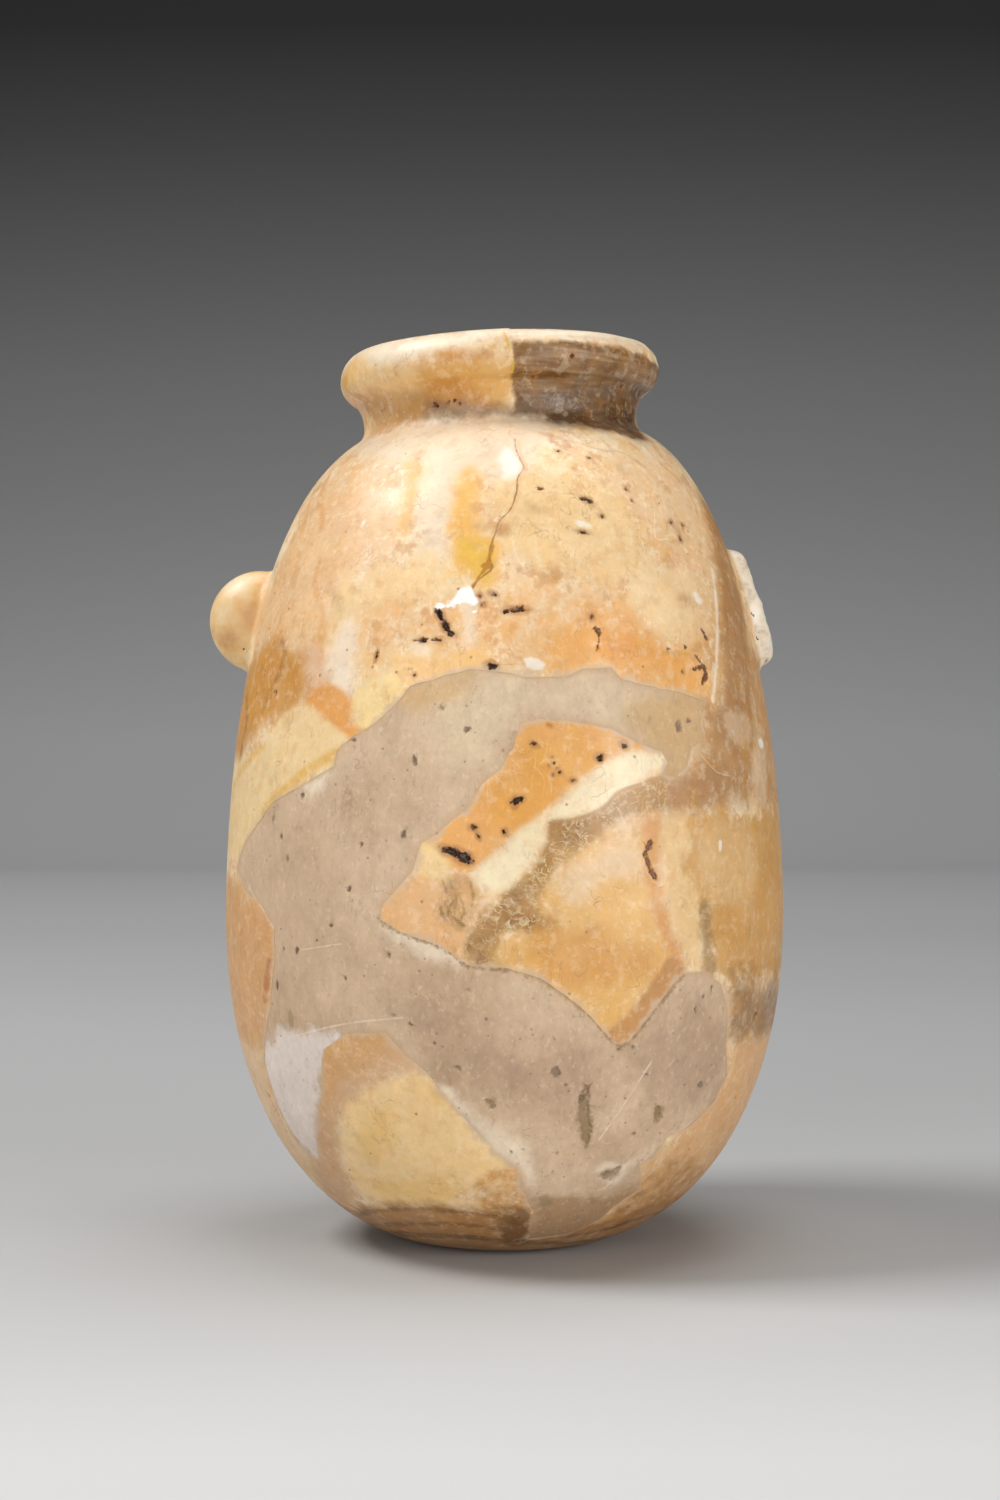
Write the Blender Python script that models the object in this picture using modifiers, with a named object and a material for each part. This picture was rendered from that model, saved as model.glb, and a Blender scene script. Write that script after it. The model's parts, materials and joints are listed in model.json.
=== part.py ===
"""Alabastron of banded calcite, mended from its fragments, with a plaster fill in the front wall.

The vessel stands on a small flat at the origin, +Z up, and its filled side faces -Y.
An azimuth is measured in degrees from -Y towards +X. All sizes are in metres.
"""

import math

import bmesh
import bpy
from mathutils import Matrix, Vector

# Body: a baggy egg, widest below its middle, on a small flat
BELLY_RADIUS = 0.0604
BELLY_HEIGHT = 0.0724
FOOT_RADIUS = 0.014
SHOULDER_HEIGHT = 0.1731

# Neck and everted lip
NECK_RADIUS = 0.0297
NECK_COVE_HEIGHT = 0.0022
LIP_RADIUS = 0.0348
LIP_LEVEL = 0.1856
LIP_OVERHANG = 0.005
LIP_DROP = 0.0052
LIP_TURN = math.radians(160)
RIM_HEIGHT = 0.1916

# Hollow inside: the drilled mouth, the wall and the floor
MOUTH_RADIUS = 0.023
MOUTH_ROUNDING = 0.0013
WALL = 0.007
FLOOR = 0.010

# The hand-cut neck stands a little askew on the body
NECK_SLOPE = 0.041
NECK_SHIFT = -0.0009
LEAN_START = 0.095

# Lug handles, cut solid from the wall at the two sides
LUG_LEVEL = 0.133
LUG_HEIGHT = 0.023
LUG_WIDTH = 0.014
LUG_REACH = 0.0109
LUG_BACKSET = 0.002
BROKEN_LUG_LEVEL = 0.1355
BROKEN_LUG_HEIGHT = 0.026
BROKEN_LUG_STUB = 0.0047
BROKEN_FACE_TILT = math.radians(17.7)

# Plaster fill: how far its cutter stands off the wall, and the width of the joint round it
FILL_PROUD = 0.003
FIT_GAP = 0.0003

# Fullness of the body's two curves, as the two powers of a superellipse
LOWER_POWERS = (2.235, 2.094)
UPPER_POWERS = (1.69, 3.95)

# Facets
TURN_STEPS = 56
LOWER_POINTS = 12
UPPER_POINTS = 12
INSIDE_POINTS = 7
LIP_POINTS = 8
COVE_POINTS = 3
MOUTH_POINTS = 2
LUG_FACETS = (20, 12)
MERGE_DISTANCE = 0.00001
SHARP_ANGLE = math.radians(35)

# The fill's outline: azimuth in degrees, height in per cent of the shoulder's height.
# It starts at the upper left and runs clockwise along the broken edges.
TOP_EDGE = [(-28, 62.7), (-21, 66.1), (-18, 67.9), (-7, 69.4), (5, 68.4), (13, 68.4), (22, 69.6),
            (25, 68.1), (46, 66.1), (43.5, 63.3), (44, 61.5), (39, 58.7), (34, 57.4)]
EDGE_ROUND_THE_TONGUE = [(32.5, 60.1), (21, 62.7), (8, 63.8), (3, 63.3), (1, 59.8), (-5, 56.1),
                         (-8, 53.2), (-15.5, 50), (-18, 46.6), (-23.5, 43.4), (-23.5, 41.4),
                         (-12, 38.5), (-6, 36.5), (3, 35.9), (12, 32.8), (19, 29), (23, 27.2),
                         (29, 30.5), (36, 35.1), (43, 35.1)]
RIGHT_EDGE = [(50, 29.9), (53.5, 22.4), (45, 16.4), (39, 15.5), (34, 12.4), (37.5, 9.2),
              (30, 5.5), (8, 3.2)]
EDGE_ROUND_THE_LOWER_SHERD = [(8, 7.2), (3, 12.1), (-2, 14.7), (-10, 20.1), (-16, 24.7),
                              (-23.5, 28.8), (-33, 28.2), (-39, 25.9), (-42, 20.7), (-46.5, 16.1),
                              (-52.5, 11.8)]
LEFT_EDGE = [(-59, 13.5), (-61.5, 18.4), (-60.5, 24.2), (-53, 31.1), (-50.5, 39.7), (-56, 42.6),
             (-65, 44.3), (-68, 46.3), (-64, 49.2), (-53, 54.3), (-36, 58.4), (-34.5, 60.4)]
FILL_OUTLINE = TOP_EDGE + EDGE_ROUND_THE_TONGUE + RIGHT_EDGE + EDGE_ROUND_THE_LOWER_SHERD + LEFT_EDGE

# The fill's cutter: its facets, and the height of the point that its lower sides fan out from,
# as a share of the belly's height
FILL_COLUMN = math.radians(11)
FILL_ROWS = 18
HEART_SHARE = 0.7

# Finishes: colour, roughness and metallic value
CALCITE = ("banded_calcite", (0.78, 0.57, 0.32, 1.0), 0.45, 0.0)
PLASTER = ("beige_plaster", (0.50, 0.40, 0.29, 1.0), 0.8, 0.0)


def clear_scene():
    """Remove whatever the opened file holds."""
    for obj in list(bpy.data.objects):
        bpy.data.objects.remove(obj, do_unlink=True)


def make_collection(name):
    """Return a new collection that hangs in the scene."""
    collection = bpy.data.collections.new(name)
    bpy.context.scene.collection.children.link(collection)
    return collection


def make_material(name, colour, roughness, metallic):
    """Return a plain Principled material."""
    material = bpy.data.materials.new(name)
    material.use_nodes = True
    shader = material.node_tree.nodes["Principled BSDF"]
    shader.inputs["Base Color"].default_value = colour
    shader.inputs["Roughness"].default_value = roughness
    shader.inputs["Metallic"].default_value = metallic
    material.diffuse_color = colour
    return material


def shoulder_share():
    """Return where the neck cuts the upper curve, as a share of that curve's full height."""
    fall, full = UPPER_POWERS
    return (1 - (NECK_RADIUS / BELLY_RADIUS) ** full) ** (1 / fall)


def upper_curve_height():
    """Return the height above the belly at which the upper curve would close."""
    return (SHOULDER_HEIGHT - BELLY_HEIGHT) / shoulder_share()


def body_radius(height):
    """Return the body's outer radius at a height between the foot and the shoulder."""
    if height <= BELLY_HEIGHT:
        share = (BELLY_HEIGHT - height) / BELLY_HEIGHT
        fall, full = LOWER_POWERS
        return FOOT_RADIUS + (BELLY_RADIUS - FOOT_RADIUS) * (1 - share ** fall) ** (1 / full)
    share = (height - BELLY_HEIGHT) / upper_curve_height()
    fall, full = UPPER_POWERS
    return BELLY_RADIUS * (1 - share ** fall) ** (1 / full)


def quarter_curve(width, height, powers, end_angle, points):
    """Return (out, up) pairs along a superellipse quarter, from its widest point to end_angle."""
    fall, full = powers
    pairs = []
    for step in range(points + 1):
        angle = end_angle * step / points
        out = width * max(math.cos(angle), 0.0) ** (2 / full)
        up = height * math.sin(angle) ** (2 / fall)
        pairs.append((out, up))
    return pairs


def end_angle_at(end_radius, start_radius, powers):
    """Return the angle at which a superellipse quarter has drawn in to end_radius."""
    return math.acos((end_radius / start_radius) ** (powers[1] / 2))


def inside_profile():
    """Return the hollow's outline from the middle of the floor up to the rim."""
    radius = BELLY_RADIUS - WALL
    lower = quarter_curve(radius, BELLY_HEIGHT - FLOOR, LOWER_POWERS, math.pi / 2, INSIDE_POINTS)
    upper = quarter_curve(radius, upper_curve_height() - WALL, UPPER_POWERS,
                          end_angle_at(MOUTH_RADIUS, radius, UPPER_POWERS), INSIDE_POINTS)
    profile = [(out, BELLY_HEIGHT - down) for out, down in reversed(lower)]
    profile[0] = (0.0, FLOOR)
    profile += [(out, BELLY_HEIGHT + up) for out, up in upper[1:]]
    for step in range(MOUTH_POINTS + 1):
        angle = math.pi / 2 * step / MOUTH_POINTS
        out = MOUTH_RADIUS + MOUTH_ROUNDING * (1 - math.cos(angle))
        up = RIM_HEIGHT - MOUTH_ROUNDING * (1 - math.sin(angle))
        profile.append((out, up))
    return profile


def lip_profile():
    """Return the lip and neck from the rim's outer edge down to the shoulder."""
    middle = LIP_RADIUS - LIP_OVERHANG
    profile = []
    for step in range(LIP_POINTS + 1):
        angle = math.pi / 2 - LIP_TURN * step / LIP_POINTS
        rise = (RIM_HEIGHT - LIP_LEVEL) if angle > 0 else LIP_DROP
        profile.append((middle + LIP_OVERHANG * math.cos(angle), LIP_LEVEL + rise * math.sin(angle)))
    under_radius, under_level = profile[-1]
    cove_level = SHOULDER_HEIGHT + NECK_COVE_HEIGHT
    for step in range(1, COVE_POINTS + 1):
        share = 1 - step / COVE_POINTS
        radius = NECK_RADIUS + (under_radius - NECK_RADIUS) * share ** 2
        profile.append((radius, cove_level + (under_level - cove_level) * share))
    return profile


def outer_profile():
    """Return the outer side from the rim down to the middle of the foot."""
    upper = quarter_curve(BELLY_RADIUS, upper_curve_height(), UPPER_POWERS,
                          end_angle_at(NECK_RADIUS, BELLY_RADIUS, UPPER_POWERS), UPPER_POINTS)
    lower = quarter_curve(BELLY_RADIUS - FOOT_RADIUS, BELLY_HEIGHT, LOWER_POWERS,
                          math.pi / 2, LOWER_POINTS)
    profile = lip_profile()
    profile += [(out, BELLY_HEIGHT + up) for out, up in reversed(upper)]
    profile += [(FOOT_RADIUS + out, BELLY_HEIGHT - down) for out, down in lower[1:]]
    profile[-1] = (FOOT_RADIUS, 0.0)
    profile.append((0.0, 0.0))
    return profile


def smooth_share(value, start, end):
    """Return 0 below start, 1 above end and a smooth rise between them."""
    share = min(max((value - start) / (end - start), 0.0), 1.0)
    return share * share * (3 - 2 * share)


def lean(bm):
    """Tip and shift the shoulder, neck and lip the way the hand-cut mouth stands."""
    for vertex in bm.verts:
        share = smooth_share(vertex.co.z, LEAN_START, SHOULDER_HEIGHT)
        vertex.co.z += NECK_SLOPE * vertex.co.x * share
        vertex.co.x += NECK_SHIFT * share


def mesh_from(bm, name):
    """Return a mesh of the bmesh's shape in triangles, its faces pointing out."""
    bmesh.ops.triangulate(bm, faces=bm.faces)
    bmesh.ops.recalc_face_normals(bm, faces=bm.faces)
    if bm.calc_volume(signed=True) < 0:
        bmesh.ops.reverse_faces(bm, faces=bm.faces)
    mesh = bpy.data.meshes.new(name)
    bm.to_mesh(mesh)
    bm.free()
    return mesh


def turned_shell():
    """Return the mesh of the hollow vessel before its lugs and its break, turned and leaned."""
    points = [Vector((out, 0.0, up)) for out, up in inside_profile() + outer_profile()]
    edges = [(index, index + 1) for index in range(len(points) - 1)]
    profile = bpy.data.meshes.new("profile")
    profile.from_pydata(points, edges, [])
    turning = bpy.data.objects.new("turning", profile)
    bpy.context.scene.collection.objects.link(turning)
    screw = turning.modifiers.new("turn", "SCREW")
    screw.steps = TURN_STEPS
    screw.render_steps = TURN_STEPS
    screw.use_merge_vertices = True
    screw.merge_threshold = MERGE_DISTANCE
    bpy.context.view_layer.update()
    evaluated = turning.evaluated_get(bpy.context.evaluated_depsgraph_get())
    bm = bmesh.new()
    bm.from_mesh(evaluated.to_mesh())
    bpy.data.objects.remove(turning)
    lean(bm)
    return mesh_from(bm, "turned_shell")


def place_cutter(name, mesh, collection):
    """Return a cutter object, drawn as wire and left out of the build."""
    cutter = bpy.data.objects.new(name, mesh)
    cutter.hide_render = True
    cutter.display_type = "WIRE"
    collection.objects.link(cutter)
    return cutter


def lug_mesh(name, side, level, height, stub=None):
    """Return one lug; with a stub, its outer end is broken off along a slanting face."""
    bm = bmesh.new()
    bmesh.ops.create_uvsphere(bm, u_segments=LUG_FACETS[0], v_segments=LUG_FACETS[1], radius=1.0)
    size = Matrix.Diagonal((LUG_REACH, LUG_WIDTH / 2, height / 2, 1.0))
    bmesh.ops.transform(bm, matrix=size, verts=bm.verts)
    if stub is not None:
        normal = Vector((side * math.cos(BROKEN_FACE_TILT), 0.0, math.sin(BROKEN_FACE_TILT)))
        cut = bmesh.ops.bisect_plane(bm, geom=bm.verts[:] + bm.edges[:] + bm.faces[:],
                                     plane_co=(side * stub, 0.0, 0.0), plane_no=normal,
                                     clear_outer=True)
        rim = [item for item in cut["geom_cut"] if isinstance(item, bmesh.types.BMEdge)]
        bmesh.ops.edgeloop_fill(bm, edges=rim)
    share = smooth_share(level, LEAN_START, SHOULDER_HEIGHT)
    offset = Vector((side * body_radius(level) + NECK_SHIFT * share, LUG_BACKSET, level))
    bmesh.ops.translate(bm, vec=offset, verts=bm.verts)
    return mesh_from(bm, name)


def wall_point(azimuth, height):
    """Return the point of the outer wall at an azimuth and height."""
    radius = body_radius(height)
    return Vector((radius * math.sin(azimuth), -radius * math.cos(azimuth), height))


def way_out(point):
    """Return the direction out of the wall: level above the hollow's heart, and fanned out below it."""
    heart = Vector((0.0, 0.0, max(point.z, HEART_SHARE * BELLY_HEIGHT)))
    return (point - heart).normalized()


def split_sheet(bm, normal, places):
    """Cut the flat sheet across at each of the places along the normal."""
    for place in places:
        bmesh.ops.bisect_plane(bm, geom=bm.verts[:] + bm.edges[:] + bm.faces[:], dist=FIT_GAP,
                               plane_co=normal * place, plane_no=normal)


def wall_stretch(height):
    """Return how much wider and taller the wall is, at a height, than the outline's flat drawing."""
    step = BELLY_HEIGHT / 1000
    slope = (body_radius(height + step) - body_radius(height)) / step
    return Vector((body_radius(height) / BELLY_RADIUS, math.hypot(1.0, slope)))


def drawn_outline(gap):
    """Return the fill's outline as corners of a flat drawing, drawn in all round by the gap."""
    corners = [Vector((math.radians(azimuth) * BELLY_RADIUS, percent / 100 * SHOULDER_HEIGHT))
               for azimuth, percent in FILL_OUTLINE]
    drawn = []
    for before, corner, after in zip(corners[-1:] + corners[:-1], corners, corners[1:] + corners[:1]):
        stretch = wall_stretch(corner.y)
        coming = ((corner - before) * stretch).normalized()
        going = ((after - corner) * stretch).normalized()
        inward = Vector((coming.y + going.y, -coming.x - going.x))
        offset = inward * (gap / (1 + coming.dot(going)))
        drawn.append(corner + Vector((offset.x / stretch.x, offset.y / stretch.y)))
    return drawn


def fill_sheet(gap):
    """Return the fill's outline as a sheet of small facets laid on the outer wall."""
    bm = bmesh.new()
    corners = [bm.verts.new((corner.x, corner.y, 0.0)) for corner in drawn_outline(gap)]
    sides = [bm.edges.new(pair) for pair in zip(corners, corners[1:] + corners[:1])]
    bmesh.ops.edgeloop_fill(bm, edges=sides)
    bmesh.ops.triangulate(bm, faces=bm.faces)
    column = FILL_COLUMN * BELLY_RADIUS
    row = SHOULDER_HEIGHT / FILL_ROWS
    across = [vertex.co.x for vertex in bm.verts]
    first = math.ceil(min(across) / column)
    last = math.floor(max(across) / column)
    split_sheet(bm, Vector((1.0, 0.0, 0.0)), [column * index for index in range(first, last + 1)])
    split_sheet(bm, Vector((0.0, 1.0, 0.0)), [row * index for index in range(1, FILL_ROWS)])
    for vertex in bm.verts:
        vertex.co = wall_point(vertex.co.x / BELLY_RADIUS, vertex.co.y)
    return bm


def fill_slab(name, gap):
    """Return a slab through the wall along the fill's outline, drawn in all round by the gap."""
    bm = fill_sheet(gap)
    inner = bm.verts[:]
    grown = bmesh.ops.extrude_face_region(bm, geom=bm.faces[:], use_keep_orig=True)
    outer = [item for item in grown["geom"] if isinstance(item, bmesh.types.BMVert)]
    for vertices, offset in ((inner, -(WALL + FLOOR)), (outer, FILL_PROUD)):
        for vertex in vertices:
            vertex.co += way_out(vertex.co) * offset
    return mesh_from(bm, name)


def add_boolean(obj, operation, cutter):
    """Join, cut or trim an object with a cutter."""
    modifier = obj.modifiers.new(f"{operation.lower()}_{cutter.name}", "BOOLEAN")
    modifier.operation = operation
    modifier.solver = "EXACT"
    modifier.object = cutter


def add_piece(name, mesh, finish, collection):
    """Return a smooth-shaded object for one physical piece, with its own material."""
    mesh.name = name
    mesh.materials.clear()
    mesh.materials.append(make_material(*finish))
    mesh.shade_smooth()
    mesh.set_sharp_from_angle(angle=SHARP_ANGLE)
    piece = bpy.data.objects.new(name, mesh)
    collection.objects.link(piece)
    return piece


def build():
    """Model the vessel and the fill."""
    clear_scene()
    pieces = make_collection("alabastron")
    cutters = make_collection("cutters")
    shell = turned_shell()

    whole_lug = place_cutter("whole_lug", lug_mesh("whole_lug", -1, LUG_LEVEL, LUG_HEIGHT), cutters)
    broken_lug = place_cutter("broken_lug",
                              lug_mesh("broken_lug", 1, BROKEN_LUG_LEVEL, BROKEN_LUG_HEIGHT,
                                       BROKEN_LUG_STUB), cutters)
    break_cutter = place_cutter("break_cutter", fill_slab("break_cutter", 0.0), cutters)
    fill_form = place_cutter("fill_form", fill_slab("fill_form", FIT_GAP), cutters)

    fill = add_piece("plaster_fill", shell.copy(), PLASTER, pieces)
    add_boolean(fill, "INTERSECT", fill_form)

    vessel = add_piece("stone_vessel", shell, CALCITE, pieces)
    add_boolean(vessel, "UNION", whole_lug)
    add_boolean(vessel, "UNION", broken_lug)
    add_boolean(vessel, "DIFFERENCE", break_cutter)


build()
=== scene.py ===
"""Looks of an alabastron of banded calcite, mended from fragments, with plaster in its front wall.

Two detailed pieces stand for the two solids of the frame: the stone with its lugs, pits, crack
and broken edges, and the plaster that fills the gap. Metres, +Z up, the filled side facing -Y.
An azimuth runs from -Y towards +X. A vessel is modelled upright as turned, and leaned last.
Marks and colour borders are traced on the photograph, in pixels of its 1000 x 1500 frame,
and thrown onto the vessel along the camera's rays.
"""

import json
import logging
import math
from collections.abc import Callable, Iterable
from dataclasses import dataclass
from enum import Enum
from functools import cached_property

import bmesh
import bpy
import numpy as np
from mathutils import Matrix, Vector, noise
from mathutils.kdtree import KDTree


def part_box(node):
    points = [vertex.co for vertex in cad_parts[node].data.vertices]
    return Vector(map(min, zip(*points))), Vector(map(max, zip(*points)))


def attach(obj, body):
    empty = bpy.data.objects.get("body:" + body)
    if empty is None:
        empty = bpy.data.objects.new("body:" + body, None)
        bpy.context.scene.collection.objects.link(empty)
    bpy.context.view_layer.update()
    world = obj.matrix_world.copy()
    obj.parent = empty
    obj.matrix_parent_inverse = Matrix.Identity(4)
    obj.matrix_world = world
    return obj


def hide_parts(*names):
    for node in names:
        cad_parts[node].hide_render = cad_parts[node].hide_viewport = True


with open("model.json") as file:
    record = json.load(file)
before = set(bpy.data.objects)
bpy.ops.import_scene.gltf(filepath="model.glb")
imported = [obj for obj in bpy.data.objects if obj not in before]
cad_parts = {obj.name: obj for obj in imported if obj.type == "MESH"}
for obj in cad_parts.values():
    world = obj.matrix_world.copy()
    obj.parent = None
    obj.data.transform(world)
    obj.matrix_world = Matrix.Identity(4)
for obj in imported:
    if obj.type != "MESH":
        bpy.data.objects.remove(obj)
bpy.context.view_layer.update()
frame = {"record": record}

MM = 0.001
MERGE_DISTANCE = 1e-6
Pixels = tuple[float, ...]
Stops = tuple[tuple[float, str], ...]
Socket = bpy.types.NodeSocket
log = logging.getLogger("alabastron")


class Join(Enum):
    """How one closed shape is joined with another."""

    UNION = "UNION"
    DIFFERENCE = "DIFFERENCE"
    INTERSECT = "INTERSECT"


class Chart(Enum):
    """What the points of a patch are read on."""

    PHOTO = "pixels of the photograph"
    WALL = "azimuth in degrees and height in millimetres"


class Texture(Enum):
    """How a patch of colour breaks up."""

    PLAIN = "plain"
    SPECKLED = "speckled"
    CRYSTALLINE = "crystalline"
    STREAKED = "streaked"


def smooth_share(value: np.ndarray, start: float, end: float) -> np.ndarray:
    """Rise smoothly from 0 to 1."""
    share = np.clip((value - start) / (end - start), 0.0, 1.0)
    return share * share * (3.0 - 2.0 * share)


def noise_at(points: np.ndarray, size: float, seed: float = 0.0) -> np.ndarray:
    """Read smooth noise at points."""
    shifted = points / size + seed
    return np.array([noise.noise(Vector(row)) for row in shifted])


def linked(name: str, data: bpy.types.ID) -> bpy.types.Object:
    """Make an object of its data and link it to the scene."""
    item = bpy.data.objects.new(name, data)
    bpy.context.scene.collection.objects.link(item)
    return item


def linear(code: str) -> tuple[float, float, float, float]:
    """Turn an sRGB hex colour into linear RGBA.

    Args:
        code: six hex digits.

    Returns:
        The linear colour, opaque.
    """
    channels = [int(code[place:place + 2], 16) / 255 for place in (0, 2, 4)]
    scene = [c / 12.92 if c <= 0.04045 else ((c + 0.055) / 1.055) ** 2.4 for c in channels]
    return (*scene, 1.0)


@dataclass(frozen=True)
class VesselForm:
    """The turned form of the vessel, in metres, and the way its neck leans."""

    belly_radius: float
    rim_height: float
    neck_slope: float
    neck_shift: float
    belly_height: float = 0.0724
    foot_radius: float = 0.014
    shoulder_height: float = 0.1731
    neck_radius: float = 0.0297
    neck_cove: float = 0.0022
    neck_fillet: float = 0.0018
    lip_radius: float = 0.0348
    lip_level: float = 0.1856
    lip_overhang: float = 0.005
    lip_drop: float = 0.0052
    lip_turn: float = math.radians(160)
    mouth_radius: float = 0.023
    mouth_rounding: float = 0.0013
    wall: float = 0.007
    floor: float = 0.010
    lean_start: float = 0.095
    lower_powers: tuple[float, float] = (2.235, 2.094)
    upper_powers: tuple[float, float] = (1.69, 3.95)

    @classmethod
    def from_frame(cls) -> "VesselForm":
        """Read the form's driving sizes from the frame.

        Returns:
            The form that the frame's solids have.
        """
        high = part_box("stone_vessel")[1]
        rim = next(mount for mount in frame["record"]["mounts"] if mount["name"] == "rim")
        slope = -rim["axis"][0] / rim["axis"][2]
        return cls(belly_radius=high.y, rim_height=rim["pos_m"][2], neck_slope=slope,
                   neck_shift=rim["pos_m"][0])

    @property
    def upper_height(self) -> float:
        """Height above the belly at which the upper curve would close."""
        fall, full = self.upper_powers
        cut = (1.0 - (self.neck_radius / self.belly_radius) ** full) ** (1.0 / fall)
        return (self.shoulder_height - self.belly_height) / cut

    def body_radius(self, height: float) -> float:
        """Give the body's outer radius.

        Args:
            height: a height between the foot and the shoulder.

        Returns:
            The radius there.
        """
        if height <= self.belly_height:
            fall, full = self.lower_powers
            share = (self.belly_height - height) / self.belly_height
            grown = (self.belly_radius - self.foot_radius) * (1.0 - share ** fall) ** (1.0 / full)
            return self.foot_radius + grown
        fall, full = self.upper_powers
        share = min((height - self.belly_height) / self.upper_height, 1.0)
        return self.belly_radius * (1.0 - share ** fall) ** (1.0 / full)

    @staticmethod
    def quarter(width: float, height: float, powers: tuple[float, float], end_radius: float,
                points: int = 400) -> np.ndarray:
        """Draw a superellipse quarter.

        Args:
            width: its widest radius, where it starts.
            height: how far it would rise to close.
            powers: its two powers.
            end_radius: the radius at which it ends.
            points: how many steps it takes.

        Returns:
            Rows of radius and rise.
        """
        fall, full = powers
        end = math.acos((end_radius / width) ** (full / 2))
        angles = np.linspace(0.0, end, points + 1)
        out = width * np.clip(np.cos(angles), 0.0, None) ** (2 / full)
        return np.column_stack([out, height * np.sin(angles) ** (2 / fall)])

    def inner_line(self) -> np.ndarray:
        """Draw the hollow from the middle of its floor up to the rounded edge of the mouth.

        Returns:
            Rows of radius and height.
        """
        radius = self.belly_radius - self.wall
        lower = self.quarter(radius, self.belly_height - self.floor, self.lower_powers, 0.0)[::-1]
        upper = self.quarter(radius, self.upper_height - self.wall, self.upper_powers,
                             self.mouth_radius)
        turns = np.linspace(0.0, math.pi / 2, 12)
        edge = np.column_stack([
            self.mouth_radius + self.mouth_rounding * (1 - np.cos(turns)),
            self.rim_height - self.mouth_rounding * (1 - np.sin(turns))])
        start = edge[0][1]
        bore = np.column_stack([
            np.full(60, self.mouth_radius),
            np.linspace(self.belly_height + upper[-1][1], start, 61)[1:]])
        return np.vstack([
            np.column_stack([lower[:, 0], self.belly_height - lower[:, 1]]),
            np.column_stack([upper[1:, 0], self.belly_height + upper[1:, 1]]), bore, edge[1:]])

    def outer_line(self) -> np.ndarray:
        """Draw the outside from the rim's flat over the lip down to the middle of the foot.

        Returns:
            Rows of radius and height.
        """
        middle = self.lip_radius - self.lip_overhang
        angles = math.pi / 2 - np.linspace(0.0, self.lip_turn, 60)
        rise = np.where(angles > 0, self.rim_height - self.lip_level, self.lip_drop)
        lip = np.column_stack([middle + self.lip_overhang * np.cos(angles),
                               self.lip_level + rise * np.sin(angles)])
        share = np.linspace(1.0, 0.0, 16)[1:]
        cove_level = self.shoulder_height + self.neck_cove
        cove = np.column_stack([
            self.neck_radius + (lip[-1][0] - self.neck_radius) * share ** 2,
            cove_level + (lip[-1][1] - cove_level) * share])
        upper = self.quarter(self.belly_radius, self.upper_height, self.upper_powers,
                             self.neck_radius + self.neck_fillet)[::-1]
        upper[:, 1] += self.belly_height
        corner = np.array([self.neck_radius, self.shoulder_height])
        turn = np.linspace(0.0, 1.0, 12)[1:-1, None]
        fillet = (1 - turn) ** 2 * cove[-1] + 2 * turn * (1 - turn) * corner + turn ** 2 * upper[0]
        lower = self.quarter(self.belly_radius - self.foot_radius, self.belly_height,
                             self.lower_powers, 0.0)
        lower = np.column_stack([self.foot_radius + lower[:, 0], self.belly_height - lower[:, 1]])
        flat = np.column_stack([np.linspace(self.foot_radius, 0.0, 30)[1:], np.zeros(29)])
        return np.vstack([lip, cove, fillet, upper, lower[1:], flat])

    def lean_share(self, height: np.ndarray) -> np.ndarray:
        """Give how much of the lean has set in at each height."""
        return smooth_share(height, self.lean_start, self.shoulder_height)

    def lean(self, points: np.ndarray) -> np.ndarray:
        """Tip and shift the upper part, the way the hand-cut neck stands."""
        share = self.lean_share(points[:, 2])
        return points + np.column_stack([
            self.neck_shift * share, np.zeros(len(points)), self.neck_slope * points[:, 0] * share])

    def upright(self, points: np.ndarray) -> np.ndarray:
        """Undo the lean.

        Args:
            points: rows on the real vessel.

        Returns:
            The same points on the upright form.
        """
        found = points.copy()
        for _ in range(5):
            share = self.lean_share(found[:, 2])
            found[:, 0] = points[:, 0] - self.neck_shift * share
            found[:, 2] = points[:, 2] - self.neck_slope * found[:, 0] * share
        return found


@dataclass(frozen=True)
class Places:
    """Where points lie on the turned wall, one value for each point.

    Azimuth in radians, distance along the wall's line from the middle of the inner floor,
    radius and gap in metres (the gap is above 0 outside the wall), and the wall's normal.
    """

    azimuth: np.ndarray
    along: np.ndarray
    radius: np.ndarray
    gap: np.ndarray
    normal: np.ndarray


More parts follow.
